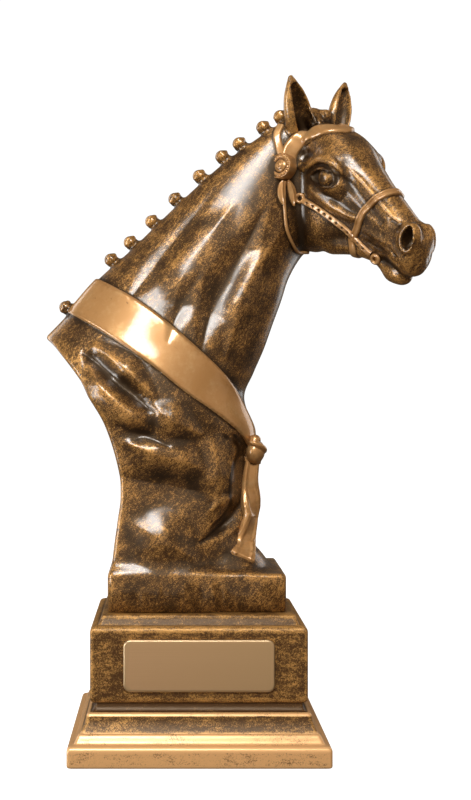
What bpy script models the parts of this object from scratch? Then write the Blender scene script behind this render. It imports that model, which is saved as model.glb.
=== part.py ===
"""Horse head trophy: a cast bust with plaited mane, bridle and sash, on a stepped plinth with a name plate.

Metres, +Z up. The origin is at the middle of the plinth's underside. The horse looks along +X and turns
its head towards -Y, the front, where the name plate is.
"""

import math
from collections import namedtuple

import bmesh
import bpy
import numpy as np

# Plinth: each moulding's own height and how far it stands in from the one below
BASE_WIDTH = 0.0836
BASE_DEPTH = 0.0676
BASE_HEIGHT = 0.0070
BASE_EDGE = 0.0012
OGEE_HEIGHT = 0.0030
OGEE_INSET = 0.0040
SLOPE_HEIGHT = 0.0048
SLOPE_INSET = 0.0018
BEAD_HEIGHT = 0.0012
BEAD_INSET = 0.0010
COVE_HEIGHT = 0.0026
COVE_INSET = 0.0016
DIE_WIDTH = 0.0698
DIE_DEPTH = 0.0540
DIE_HEIGHT = 0.0248
DIE_EDGE = 0.0012
STEP_HEIGHT = 0.0031
STEP_INSET = 0.0034
STEP_EDGE = 0.0006
PLINTH_CORNER = 0.0009
CORNER_STEPS = 3

# Name plate, stuck on the front of the die
PLATE_WIDTH = 0.0482
PLATE_HEIGHT = 0.0166
PLATE_THICKNESS = 0.0010
PLATE_CORNER = 0.0022
PLATE_EDGE = 0.0003
PLATE_GAP = 0.0003
SEAT_GAP = 0.0003

# Bust: the block it stands on, and the free form above it, as shares of its own height
BLOCK_WIDTH = 0.0574
BLOCK_DEPTH = 0.0390
BLOCK_HEIGHT = 0.0122
BLOCK_EDGE = 0.0012
BUST_HEIGHT = 0.1800

# Head: its length from poll to lip, the place of its poll and its turn, tilt and lean
HEAD_LENGTH = 0.0630
HEAD_TURN = 48.0
HEAD_PITCH = 40.5
HEAD_LEAN = -14.0

# Sculpting grid and the faces kept from it
CELL = 0.0008
BUST_FACES = 8200

OUTSIDE = 1.0
Form = namedtuple("Form", "low high distance")


def smooth_min(a, b, blend):
    """The lesser of two distances, with the crease between them filled over the length blend."""
    if blend <= 0:
        return np.minimum(a, b)
    share = np.clip(0.5 + 0.5 * (b - a) / blend, 0, 1)
    return b + (a - b) * share - blend * share * (1 - share)


class Clay:
    """Signed distances, negative inside, at the corners of a grid of small cubes."""

    def __init__(self, low, high, cell):
        self.cell = cell
        self.low = np.asarray(low, float)
        self.count = np.ceil((np.asarray(high) - self.low) / cell).astype(int) + 1
        self.field = np.full(self.count, OUTSIDE, np.float32)

    def window(self, low, high):
        """The part of the grid between two corners, and its points."""
        first = np.clip(np.floor((low - self.low) / self.cell), 0, self.count).astype(int)
        last = np.clip(np.ceil((high - self.low) / self.cell) + 1, 0, self.count).astype(int)
        axes = [self.low[k] + self.cell * np.arange(first[k], last[k]) for k in range(3)]
        points = np.stack(np.meshgrid(*axes, indexing="ij"), -1).astype(np.float32)
        return tuple(slice(a, b) for a, b in zip(first, last)), points

    def add(self, form, blend=0.0):
        part, points = self.window(form.low - blend, form.high + blend)
        self.field[part] = smooth_min(self.field[part], form.distance(points), blend)

    def cut(self, form, blend=0.0):
        part, points = self.window(form.low - blend, form.high + blend)
        self.field[part] = -smooth_min(-self.field[part], form.distance(points), blend)

    def swell(self, form, height):
        """Raises the surface by height at the middle of a form, fading out at its skin. Negative sinks it."""
        part, points = self.window(form.low, form.high)
        share = np.clip(-form.distance(points), 0, 1)
        self.field[part] -= height * share * share * (3 - 2 * share)

    def sample(self, points):
        """The distance at any points, and its slope."""
        place = (np.asarray(points, float) - self.low) / self.cell
        corner = np.clip(np.floor(place).astype(int), 0, self.count - 2)
        share = np.clip(place - corner, 0, 1)
        value = np.zeros(len(place))
        slope = np.zeros((len(place), 3))
        for i in range(8):
            step = np.array([i >> 2 & 1, i >> 1 & 1, i & 1])
            weight = np.where(step, share, 1 - share)
            at = self.field[tuple((corner + step).T)]
            value += weight.prod(1) * at
            for k in range(3):
                others = np.delete(weight, k, 1).prod(1)
                slope[:, k] += (1 if step[k] else -1) * others * at / self.cell
        return value, slope

    def settle(self, points, lift=0.0, rounds=24):
        """Points moved along the slope until they lie on the surface, or stand off it by lift."""
        points = np.array(points, float)
        for _ in range(rounds):
            value, slope = self.sample(points)
            length = np.maximum((slope**2).sum(1), 0.05)
            points -= 0.7 * ((value - lift) / length)[:, None] * slope
        return points


def untangle(field):
    """Fills the corners where two walls would meet along one edge, which no solid has."""
    for _ in range(12):
        changed = 0
        for k in range(3):
            u, v = [m for m in range(3) if m != k]
            corners = []
            for i, j in ((0, 0), (1, 0), (1, 1), (0, 1)):
                part = [slice(None)] * 3
                part[u] = slice(i, field.shape[u] - 1 + i)
                part[v] = slice(j, field.shape[v] - 1 + j)
                corners.append(field[tuple(part)])
            a, b, c, d = (x < 0 for x in corners)
            crossed = (a == c) & (b == d) & (a != b)
            changed += int(crossed.sum())
            first, second = crossed & ~a, crossed & a
            corners[0][first] = -1e-6
            corners[1][second] = -1e-6
        if not changed:
            return field
    return field


def skin(clay):
    """The clay's zero surface as points and four-sided faces: one point in each cube that it crosses."""
    field = clay.field
    for k in range(3):
        for edge in (0, -1):
            wall = np.moveaxis(field, k, 0)
            wall[edge] = np.maximum(wall[edge], clay.cell)
    field = untangle(field)
    inside = field < 0
    count = np.array(field.shape) - 1
    total = np.zeros(tuple(count) + (3,), np.float32)
    hits = np.zeros(tuple(count), np.int16)
    crossings = []
    for k in range(3):
        ahead = [slice(None)] * 3
        ahead[k] = slice(1, None)
        behind = [slice(None)] * 3
        behind[k] = slice(None, -1)
        a, b = field[tuple(behind)], field[tuple(ahead)]
        where = np.argwhere(inside[tuple(behind)] != inside[tuple(ahead)])
        index = tuple(where.T)
        share = a[index] / (a[index] - b[index])
        place = where.astype(np.float32)
        place[:, k] += share
        u, v = [m for m in range(3) if m != k]
        for i in (0, 1):
            for j in (0, 1):
                cube = where.copy()
                cube[:, u] -= i
                cube[:, v] -= j
                good = ((cube >= 0) & (cube < count)).all(1)
                at = tuple(cube[good].T)
                np.add.at(total, at, place[good])
                np.add.at(hits, at, 1)
        crossings.append((k, u, v, where, inside[tuple(behind)][index]))
    used = np.argwhere(hits > 0)
    number = np.full(tuple(count), -1, np.int64)
    number[tuple(used.T)] = np.arange(len(used))
    points = total[tuple(used.T)] / hits[tuple(used.T)][:, None]
    faces = []
    for k, u, v, where, starts_inside in crossings:
        ring = []
        for i, j in ((1, 1), (0, 1), (0, 0), (1, 0)):
            cube = where.copy()
            cube[:, u] -= i
            cube[:, v] -= j
            ring.append(number[tuple(cube.T)])
        quad = np.stack(ring, 1)
        flip = starts_inside == (k == 1)
        quad[flip] = quad[flip][:, ::-1]
        faces.append(quad)
    return points * clay.cell + clay.low, np.concatenate(faces)


class Frame:
    """A local frame: its origin, its three unit axes as rows, and the length that its shares are of."""

    def __init__(self, origin, axes, unit):
        self.origin = np.asarray(origin, float)
        self.axes = np.asarray(axes, float)
        self.unit = unit

    def place(self, local):
        return self.origin + np.asarray(local, float) * self.unit @ self.axes

    def into(self, points):
        return (points - self.origin.astype(np.float32)) @ self.axes.T.astype(np.float32)


def curve(points, steps=8):
    """A smooth line through the points, with steps from each to the next."""
    points = np.asarray(points, float)
    ends = np.vstack([2 * points[0] - points[1], points, 2 * points[-1] - points[-2]])
    t = np.arange(steps)[:, None] / steps
    line = []
    for a, b, c, d in zip(ends, ends[1:], ends[2:], ends[3:]):
        line.append(
            b + 0.5 * t * (c - a + t * (2 * a - 5 * b + 4 * c - d + t * (3 * (b - c) + d - a)))
        )
    return np.vstack(line + [points[-1:]])


def profile(*pairs):
    """A smooth function through (place, value) pairs, level beyond its ends."""
    line = curve(pairs, 12)
    return lambda x: np.interp(x, line[:, 0], line[:, 1])


def ellipsoid(centre, radii, axes=np.eye(3)):
    centre = np.asarray(centre, np.float32)
    radii = np.asarray(radii, np.float32)
    axes = np.asarray(axes, np.float32)
    reach = np.sqrt(((axes * radii[:, None]) ** 2).sum(0))

    def distance(points):
        local = (points - centre) @ axes.T / radii
        near = np.maximum(np.sqrt((local**2).sum(-1)), 1e-4)
        steep = np.sqrt(((local / radii) ** 2).sum(-1))
        return near * (near - 1) / np.maximum(steep, 1e-6)

    return Form(centre - reach, centre + reach, distance)


def rod(line, radii, share=False):
    """A round rod along a line, of running radius; share gives its depth as a share of the widest."""
    line = np.asarray(line, float)
    radii = np.interp(np.linspace(0, 1, len(line)), np.linspace(0, 1, len(radii)), radii)
    widest = radii.max()
    low = (line - radii[:, None]).min(0)
    high = (line + radii[:, None]).max(0)

    def distance(points):
        best = np.full(points.shape[:-1], OUTSIDE, np.float32)
        for a, b, ra, rb in zip(line, line[1:], radii, radii[1:]):
            along = (b - a).astype(np.float32)
            from_a = points - a.astype(np.float32)
            t = np.clip(from_a @ along / max(along @ along, 1e-12), 0, 1)
            gap = np.sqrt(((from_a - t[..., None] * along) ** 2).sum(-1))
            radius = ra + t * (rb - ra)
            best = np.minimum(best, (gap - radius) / widest if share else gap - radius)
        return best

    return Form(low, high, distance)


def block(low, high, edge):
    """A box with rounded edges."""
    low, high = np.asarray(low, float), np.asarray(high, float)
    centre = ((low + high) / 2).astype(np.float32)
    half = ((high - low) / 2 - edge).astype(np.float32)

    def distance(points):
        away = np.abs(points - centre) - half
        outer = np.sqrt((np.maximum(away, 0) ** 2).sum(-1))
        return outer + np.minimum(away.max(-1), 0) - edge

    return Form(low, high, distance)


def flat_distance(outline, points):
    """Signed distance in the side view, X against Z, to a closed outline, the same at every Y."""
    outline = np.asarray(outline, np.float32)
    at = points[:, :1, :, :][..., [0, 2]]
    best = np.full(at.shape[:-1], OUTSIDE, np.float32)
    odd = np.zeros(at.shape[:-1], bool)
    for a, b in zip(outline, np.roll(outline, -1, 0)):
        along = b - a
        from_a = at - a
        t = np.clip(from_a @ along / max(along @ along, 1e-12), 0, 1)
        best = np.minimum(best, np.sqrt(((from_a - t[..., None] * along) ** 2).sum(-1)))
        spans = (a[1] > at[..., 1]) != (b[1] > at[..., 1])
        meets = a[0] + (at[..., 1] - a[1]) / (along[1] if along[1] else 1e-9) * along[0]
        odd ^= spans & (at[..., 0] < meets)
    return np.broadcast_to(np.where(odd, -best, best), points.shape[:-1])


def slab(outline, reach):
    """All that lies within a side-view outline, reach to either side of the middle."""
    outline = np.asarray(outline, float)
    low = np.array([outline[:, 0].min(), -reach, outline[:, 1].min()])
    high = np.array([outline[:, 0].max(), reach, outline[:, 1].max()])
    return Form(low, high, lambda points: flat_distance(outline, points))


def unit(vector):
    return np.asarray(vector, float) / np.linalg.norm(vector)


# The top of the plinth, and the bust's own frame above it
SEAT_Z = (
    BASE_HEIGHT + OGEE_HEIGHT + SLOPE_HEIGHT + BEAD_HEIGHT + COVE_HEIGHT + DIE_HEIGHT + STEP_HEIGHT
)
BUST = Frame((0.0, 0.0, SEAT_Z + SEAT_GAP), np.eye(3), BUST_HEIGHT)

# Sections of neck and trunk from the block up: crest X, Z, throat X, Z, half width, crest's and throat's Y
SECTIONS = (
    (-0.318, -0.060, 0.115, -0.060, 0.106, 0.0, 0.0),
    (-0.337, 0.098, 0.100, 0.100, 0.103, 0.0, 0.0),
    (-0.356, 0.193, 0.108, 0.193, 0.098, 0.0, 0.0),
    (-0.368, 0.300, 0.107, 0.275, 0.104, 0.0, 0.0),
    (-0.361, 0.410, 0.106, 0.330, 0.110, 0.0, 0.0),
    (-0.320, 0.468, 0.090, 0.388, 0.104, 0.0, 0.0),
    (-0.254, 0.537, 0.107, 0.433, 0.092, 0.0, 0.0),
    (-0.192, 0.608, 0.127, 0.479, 0.083, 0.0, 0.0),
    (-0.126, 0.668, 0.143, 0.524, 0.075, 0.0, 0.0),
    (-0.041, 0.750, 0.160, 0.570, 0.067, -0.004, 0.002),
    (0.044, 0.826, 0.176, 0.616, 0.060, -0.012, 0.012),
    (0.121, 0.881, 0.203, 0.660, 0.052, -0.024, 0.030),
    (0.190, 0.923, 0.243, 0.700, 0.042, -0.030, 0.048),
)
CREST = tuple((s[0], s[1]) for s in SECTIONS[5:])

# The sweep that cuts the trunk off behind, from the withers down to the block
CUT = (
    (-0.287, 0.500),
    (-0.262, 0.477),
    (-0.209, 0.409),
    (-0.169, 0.333),
    (-0.146, 0.257),
    (-0.142, 0.205),
    (-0.148, 0.159),
    (-0.156, 0.094),
    (-0.153, 0.060),
    (-0.153, -0.060),
)
CUT_BEYOND = ((-0.60, -0.06), (-0.60, 0.50), (-0.40, 0.56))

# The sash's upper and lower edge in the side view
SASH_TOP = (
    (-0.230, 0.650), (-0.190, 0.614), (-0.160, 0.596), (-0.107, 0.564), (-0.052, 0.522), (0.003, 0.474),
    (0.052, 0.427), (0.086, 0.379), (0.110, 0.335), (0.135, 0.290),
)
SASH_LOW = (
    (-0.300, 0.582), (-0.249, 0.552), (-0.190, 0.518), (-0.134, 0.482), (-0.079, 0.443), (-0.024, 0.399),
    (0.031, 0.361), (0.074, 0.326), (0.096, 0.295), (0.130, 0.235),
)
SASH_THICKNESS = 0.0050
SASH_EDGE = 0.0044

# The foot of each plait, by its X on the crest
PLAITS = (-0.241, -0.156, -0.119, -0.078, -0.034, 0.012, 0.054, 0.086, 0.130, 0.162)
PLAIT_RADIUS = 0.0128
PLAIT_STAND = 0.0117
PLAIT_STALK = (0.0133, 0.0100)

# How far each form melts into what it joins: shares of BUST_HEIGHT, then of HEAD_LENGTH
FOOT_BLEND = 0.033
CUT_BLEND = 0.008
SMALL_BLEND = 0.004
SKULL_BLEND = 0.063
FORM_BLEND = 0.044
LIP_BLEND = 0.022
CREASE_BLEND = 0.009


def trunk():
    """Neck and trunk: elliptic sections from crest to throat, swept up the bust."""
    rows = curve(SECTIONS, 30)
    crest = BUST.place(np.stack([rows[:, 0], 0 * rows[:, 0], rows[:, 1]], 1))[:, [0, 2]]
    throat = BUST.place(np.stack([rows[:, 2], 0 * rows[:, 2], rows[:, 3]], 1))[:, [0, 2]]
    width, crest_y, throat_y = (rows[:, k] * BUST.unit for k in (4, 5, 6))
    span = throat - crest
    order = np.arange(len(rows))

    def distance(points):
        at = points[:, :1, :, :][..., [0, 2]].astype(float)
        side = (
            span[:, 0] * (at[..., 1:] - crest[:, 1]) - span[:, 1] * (at[..., :1] - crest[:, 0])
        )
        above = side > 0
        first = np.clip(above.shape[-1] - np.argmax(above[..., ::-1], -1) - 1, 0, len(rows) - 2)
        first = np.where(above.any(-1), first, 0)
        low = np.take_along_axis(side, first[..., None], -1)[..., 0]
        high = np.take_along_axis(side, first[..., None] + 1, -1)[..., 0]
        s = first + np.clip(low / np.where(low == high, 1, low - high), 0, 1)
        from_crest = at - np.stack([np.interp(s, order, crest[:, k]) for k in (0, 1)], -1)
        across = np.stack([np.interp(s, order, span[:, k]) for k in (0, 1)], -1)
        length = np.sqrt((across**2).sum(-1))
        u = 2 * (from_crest * across).sum(-1) / length**2 - 1
        half = length / 2
        half_width = np.interp(s, order, width) * (1 + 0.16 * np.clip(u, -1, 1))
        turned = from_crest[..., 0] * across[..., 1] - from_crest[..., 1] * across[..., 0]
        off_plane = np.abs(turned / length)
        middle = np.interp(s, order, crest_y + throat_y) / 2
        middle = middle + np.interp(s, order, throat_y - crest_y) / 2 * np.clip(u, -1, 1)
        u, half, half_width, off_plane, middle = (
            x.astype(np.float32) for x in (u, half, half_width, off_plane, middle)
        )
        v = (points[..., 1] - middle) / half_width
        near = np.maximum(np.sqrt(u**2 + v**2), 1e-4)
        steep = np.sqrt((u / half) ** 2 + (v / half_width) ** 2) / near
        inner = (near - 1) / np.maximum(steep, 1e-3)
        beyond = off_plane - half * 0.05
        return np.where(beyond > 0, np.maximum(inner, beyond), inner)

    reach = np.array([0.02, 0.13, 0.02]) * BUST.unit
    corners = np.vstack([crest, throat])
    low = np.array([corners[:, 0].min(), 0, corners[:, 1].min()]) - reach
    high = np.array([corners[:, 0].max(), 0, corners[:, 1].max()]) + reach
    return Form(low, high, distance)


# How far from the middle the flanks' forms begin and are whole, in shares of BUST_HEIGHT
FLANK_FADE = (0.012, 0.060)


def flank(path, radii):
    """A swell along a path in the side view. It marks both flanks alike, and fades towards the middle."""
    line = curve([BUST.place((x, 0.0, z)) for x, z in path], 5)
    form = rod(line, np.asarray(radii) * BUST.unit, True)
    reach = np.array([0, 0.2, 0]) * BUST.unit

    def distance(points):
        flat = points[:, :1].copy()
        flat[..., 1] = 0
        aside = np.abs(points[:1, :, :1, 1]) / BUST.unit
        fade = np.interp(aside, FLANK_FADE, (0.0, 1.0)).astype(np.float32)
        return np.minimum(form.distance(flat), 0) * fade

    return Form(form.low - reach, form.high + reach, distance)


# Muscles and furrows of both flanks: path in the side view, radii and height, as shares of BUST_HEIGHT
FLANKS = (
    (((-0.187, 0.482), (-0.133, 0.441), (-0.082, 0.392)), (0.014, 0.040, 0.014), 0.0085),
    (((-0.207, 0.468), (-0.182, 0.448), (-0.117, 0.388), (-0.078, 0.362)),
     (0.012, 0.028, 0.028, 0.010), -0.0105),
    (((-0.196, 0.441), (-0.173, 0.401), (-0.124, 0.356), (-0.092, 0.330)),
     (0.016, 0.044, 0.044, 0.014), 0.0110),
    (((-0.146, 0.338), (-0.106, 0.323), (-0.055, 0.300)), (0.012, 0.026, 0.010), -0.0070),
    (((-0.090, 0.374), (-0.048, 0.347), (0.002, 0.322)), (0.014, 0.044, 0.014), 0.0095),
    (((-0.135, 0.307), (-0.075, 0.284), (-0.030, 0.271), (0.006, 0.259)),
     (0.012, 0.036, 0.036, 0.012), 0.0090),
    (((-0.120, 0.240), (-0.060, 0.226), (-0.010, 0.218)), (0.030, 0.066, 0.035), -0.0090),
    (((0.028, 0.300), (0.040, 0.242), (0.028, 0.180)), (0.030, 0.064, 0.030), 0.0140),
    (((0.066, 0.316), (0.086, 0.289), (0.085, 0.247), (0.083, 0.208), (0.072, 0.180), (0.039, 0.146),
      (0.004, 0.122)),
     (0.010, 0.024, 0.028, 0.028, 0.026, 0.020, 0.006), -0.0190),
    (((-0.110, 0.168), (-0.070, 0.148), (-0.022, 0.119)), (0.028, 0.062, 0.028), 0.0080),
    (((0.021, 0.181), (0.048, 0.197), (0.070, 0.205)), (0.006, 0.018, 0.006), 0.0060),
    (((0.126, 0.742), (0.086, 0.663), (0.053, 0.604), (0.024, 0.546), (0.004, 0.470)),
     (0.008, 0.036, 0.044, 0.040, 0.010), -0.0100),
    (((0.064, 0.744), (0.017, 0.681), (-0.024, 0.622), (-0.046, 0.552)),
     (0.014, 0.054, 0.060, 0.020), 0.0085),
    (((0.156, 0.698), (0.110, 0.625), (0.080, 0.560), (0.052, 0.462)),
     (0.008, 0.034, 0.038, 0.010), 0.0065),
    (((0.044, 0.790), (-0.035, 0.690), (-0.088, 0.620), (-0.125, 0.570)),
     (0.008, 0.032, 0.034, 0.008), -0.0045),
    (((0.004, 0.618), (-0.030, 0.560), (-0.054, 0.492)), (0.008, 0.038, 0.010), -0.0060),
)


def head_frame():
    turn, pitch, lean = (math.radians(x) for x in (HEAD_TURN, HEAD_PITCH, HEAD_LEAN))
    along = np.array([math.cos(pitch) * math.cos(turn), -math.cos(pitch) * math.sin(turn), -math.sin(pitch)])
    level = np.array([-math.sin(turn), -math.cos(turn), 0.0])
    raised = -np.cross(along, level)
    right = math.cos(lean) * level + math.sin(lean) * raised
    crown = -math.sin(lean) * level + math.cos(lean) * raised
    return Frame(BUST.place((0.229, -0.028, 0.905)), (along, right, crown), HEAD_LENGTH)


HEAD = head_frame()
RIGHT, LEFT = 1, -1


def head_point(a, l, d, side=RIGHT):
    return HEAD.place((a, l * side, d))


def head_ellipsoid(centre, radii, side=RIGHT):
    return ellipsoid(head_point(*centre, side), np.asarray(radii) * HEAD.unit, HEAD.axes)


def head_rod(points, radii, side=RIGHT, share=False):
    line = [head_point(*p, side) for p in points]
    return rod(curve(line, 5) if len(line) > 2 else line, np.asarray(radii) * HEAD.unit, share)


def skull():
    """The head's main form: rounded sections from poll to lip, squarer across the forehead."""
    top = profile((-0.06, -0.05), (0.0, 0.0), (0.10, 0.040), (0.22, 0.065), (0.34, 0.058), (0.46, 0.022),
                  (0.60, -0.012), (0.75, -0.040), (0.87, -0.068), (0.95, -0.110), (0.99, -0.17),
                  (1.0, -0.22))
    low = profile((-0.06, -0.30), (0.10, -0.42), (0.30, -0.52), (0.45, -0.495), (0.60, -0.410),
                  (0.72, -0.365), (0.80, -0.325), (0.92, -0.305), (0.99, -0.29), (1.0, -0.27))
    width = profile((-0.06, 0.06), (0.0, 0.11), (0.12, 0.150), (0.28, 0.168), (0.40, 0.150), (0.52, 0.118),
                    (0.66, 0.102), (0.80, 0.093), (0.92, 0.096), (0.99, 0.07), (1.0, 0.03))
    squareness = profile((0.0, 2.3), (0.25, 3.2), (0.45, 3.0), (0.70, 2.6), (1.0, 2.4))

    def distance(points):
        local = HEAD.into(points) / HEAD.unit
        a = local[..., 0]
        power = squareness(a)
        middle, half = (top(a) + low(a)) / 2, (top(a) - low(a)) / 2
        wide = width(a)
        u = np.maximum(np.abs(local[..., 2] - middle) / half, 1e-4)
        v = np.maximum(np.abs(local[..., 1]) / wide, 1e-4)
        near = np.maximum((u**power + v**power) ** (1 / power), 1e-4)
        slope = np.sqrt((u ** (power - 1) / half) ** 2 + (v ** (power - 1) / wide) ** 2)
        steep = slope / near ** (power - 1)
        beyond = np.maximum(-0.06 - a, a - 1.0)
        return (np.maximum((near - 1) / np.maximum(steep, 1e-3), beyond) * HEAD.unit).astype(np.float32)

    reach = 0.75 * HEAD.unit
    centre = HEAD.place((0.5, 0.0, -0.2))
    return Form(centre - reach, centre + reach, distance)


# Ridges and hollows of both cheeks: path in the head's frame, radii and height, as shares of HEAD_LENGTH
CHEEKS = (
    (((0.105, 0.135, -0.125), (0.135, 0.140, -0.105), (0.175, 0.140, -0.080)),
     (0.030, 0.052, 0.030), -0.018),
    (((0.085, 0.150, -0.165), (0.130, 0.155, -0.180), (0.172, 0.160, -0.172)),
     (0.016, 0.026, 0.020), 0.014),
    (((0.160, 0.165, -0.180), (0.205, 0.170, -0.120), (0.250, 0.172, -0.062), (0.310, 0.172, -0.028),
      (0.370, 0.165, -0.020), (0.420, 0.155, -0.040), (0.455, 0.145, -0.085)),
     (0.012, 0.028, 0.032, 0.034, 0.032, 0.026, 0.010), 0.026),
    (((0.185, 0.165, -0.185), (0.228, 0.170, -0.128), (0.272, 0.172, -0.080), (0.330, 0.172, -0.058),
      (0.385, 0.165, -0.068)), (0.008, 0.016, 0.018, 0.018, 0.008), -0.012),
    (((0.26, 0.185, -0.225), (0.41, 0.160, -0.232), (0.52, 0.135, -0.226), (0.60, 0.112, -0.205)),
     (0.030, 0.048, 0.042, 0.030), 0.018),
    (((0.26, 0.185, -0.280), (0.41, 0.165, -0.288), (0.52, 0.138, -0.282), (0.60, 0.115, -0.266)),
     (0.016, 0.030, 0.030, 0.018), -0.017),
    (((0.43, 0.130, -0.070), (0.52, 0.112, -0.092), (0.62, 0.098, -0.115), (0.74, 0.088, -0.130)),
     (0.030, 0.045, 0.045, 0.025), -0.014),
    (((0.40, 0.120, -0.010), (0.50, 0.100, -0.030), (0.60, 0.088, -0.052), (0.70, 0.080, -0.070),
      (0.82, 0.070, -0.085)), (0.012, 0.024, 0.024, 0.024, 0.012), 0.011),
    (((0.66, 0.095, -0.230), (0.76, 0.090, -0.215), (0.84, 0.088, -0.200)), (0.020, 0.034, 0.018), 0.010),
    (((0.70, 0.092, -0.280), (0.79, 0.090, -0.262), (0.86, 0.088, -0.245)), (0.012, 0.026, 0.012), -0.010),
    (((0.84, 0.085, -0.215), (0.90, 0.085, -0.225), (0.95, 0.075, -0.215)), (0.010, 0.018, 0.010), -0.010),
    (((0.86, 0.085, -0.262), (0.93, 0.080, -0.268), (0.975, 0.060, -0.255)), (0.010, 0.020, 0.010), 0.009),
    (((0.985, 0.050, -0.120), (0.995, 0.052, -0.170), (0.985, 0.052, -0.225)),
     (0.010, 0.018, 0.010), -0.012),
    (((0.78, 0.070, -0.100), (0.84, 0.070, -0.095)), (0.024, 0.030), -0.010),
    (((0.420, 0.172, -0.110), (0.455, 0.158, -0.135), (0.480, 0.150, -0.172)),
     (0.008, 0.014, 0.006), -0.009),
    (((0.385, 0.175, -0.180), (0.430, 0.162, -0.195), (0.480, 0.150, -0.198)),
     (0.008, 0.014, 0.006), -0.008),
)

EYE = (0.335, 0.128, -0.122)
EYE_RADIUS = 0.062
EYE_LENGTH = 0.104
EYE_HEIGHT = 0.043
EYE_SLANT = 26.0
EYE_FLOOR = 0.030

NOSTRIL = (0.925, 0.096, -0.100)
NOSTRIL_LENGTH = 0.056
NOSTRIL_WIDTH = 0.036
NOSTRIL_FLARE = (0.062, 0.044, 0.076)
NOSTRIL_TILT = 20.0
NOSTRIL_DEPTH = 0.050

MOUTH = ((0.815, 0.092, -0.312), (0.860, 0.092, -0.316), (0.920, 0.078, -0.316), (0.975, 0.050, -0.316),
         (1.010, 0.0, -0.318))
MOUTH_RADII = (0.007, 0.012, 0.014, 0.014)


# Masses added to the skull, each its centre and radii as shares of HEAD_LENGTH, and the jaw's path and radii
JOWL = ((0.28, 0.080, -0.385), (0.205, 0.078, 0.215))
ORBIT = ((0.33, 0.120, -0.12), (0.120, 0.055, 0.090))
CHIN = ((0.900, 0.0, -0.350), (0.080, 0.066, 0.064))
LIP = ((0.955, 0.0, -0.262), (0.060, 0.066, 0.052))
MUZZLE = ((0.935, 0.0, -0.195), (0.070, 0.066, 0.090))
JAW = ((0.47, 0.055, -0.46), (0.60, 0.050, -0.390), (0.74, 0.035, -0.345), (0.86, 0.0, -0.365))
JAW_RADII = (0.055, 0.042, 0.036, 0.040)


def carve_head(clay):
    """Skull, jowls, lips, orbits and nostrils."""
    soft, firm = FORM_BLEND * HEAD.unit, LIP_BLEND * HEAD.unit
    clay.add(skull(), SKULL_BLEND * HEAD.unit)
    for side in (RIGHT, LEFT):
        clay.add(head_ellipsoid(*JOWL, side), soft)
        clay.add(head_rod(JAW, JAW_RADII, side), soft)
        clay.add(head_ellipsoid(*ORBIT, side), soft)
    clay.add(head_ellipsoid(*CHIN), firm)
    clay.add(head_ellipsoid(*LIP), firm)
    clay.add(head_ellipsoid(*MUZZLE), soft)
    for side in (RIGHT, LEFT):
        for path, radii, height in CHEEKS:
            clay.swell(head_rod(path, radii, side, True), height * HEAD.unit)
        nostril(clay, side)
        eye(clay, side)
        clay.cut(head_rod(MOUTH, MOUTH_RADII, side), CREASE_BLEND * HEAD.unit)


def nostril(clay, side):
    """A flared rim round a deep oval."""
    tilt = math.radians(NOSTRIL_TILT)
    a, l, d = NOSTRIL
    flare = head_ellipsoid((a - 0.014, l - 0.038, d - 0.008), NOSTRIL_FLARE, side)
    clay.add(flare, FORM_BLEND * HEAD.unit)
    across = math.cos(tilt) * HEAD.axes[0] - math.sin(tilt) * HEAD.axes[2]
    upward = math.sin(tilt) * HEAD.axes[0] + math.cos(tilt) * HEAD.axes[2]
    radii = np.array((NOSTRIL_WIDTH, NOSTRIL_DEPTH, NOSTRIL_LENGTH)) * HEAD.unit
    opening = ellipsoid(head_point(a, l + 0.010, d, side), radii, (across, HEAD.axes[1], upward))
    clay.cut(opening, CREASE_BLEND * HEAD.unit)


def almond(side):
    """The opening between the lids, as deep as the head."""
    slant = math.radians(EYE_SLANT)
    radius = (EYE_LENGTH**2 + EYE_HEIGHT**2) / (2 * EYE_HEIGHT)
    offset = (radius - EYE_HEIGHT) * np.array((-math.sin(slant), math.cos(slant)))
    reach = np.full(3, EYE_LENGTH * 1.3 * HEAD.unit)
    centre = head_point(EYE[0], EYE[1] + 0.06, EYE[2], side)

    def distance(points):
        local = HEAD.into(points) / HEAD.unit
        a, d = local[..., 0] - EYE[0], local[..., 2] - EYE[2]
        over = [np.hypot(a - way * offset[0], d - way * offset[1]) - radius for way in (-1, 1)]
        deep = EYE[1] + EYE_FLOOR - local[..., 1] * side
        return (np.maximum(np.maximum(over[0], over[1]), deep) * HEAD.unit).astype(np.float32)

    return Form(centre - reach, centre + reach, distance)


def eye(clay, side):
    """A ball set in an almond opening."""
    socket = head_ellipsoid((EYE[0], EYE[1] - 0.012, EYE[2]), (0.098, 0.080, 0.082), side)
    clay.add(socket, LIP_BLEND * HEAD.unit)
    clay.cut(almond(side), CREASE_BLEND * HEAD.unit)
    clay.add(head_ellipsoid(EYE, (EYE_RADIUS,) * 3, side), CREASE_BLEND * HEAD.unit)


# Ears: base, tip, the way each faces and its size beside the other, in the head's frame
EAR_DEPTH = 0.62
EAR_BORE = 0.70
EAR_BORE_DEPTH = 1.15
EAR_HOLLOW = 0.42
EAR_OPENS = (0.72, -0.69, 0.0)
NEAR_EAR = ((0.006, 0.088, -0.076), (-0.145, 0.165, 0.186), (0.80, -0.60, 0.0), 1.05)
FAR_EAR = ((0.035, 0.120, -0.045), (-0.115, 0.210, 0.150), (0.55, -0.83, 0.0), 0.90)


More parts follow.
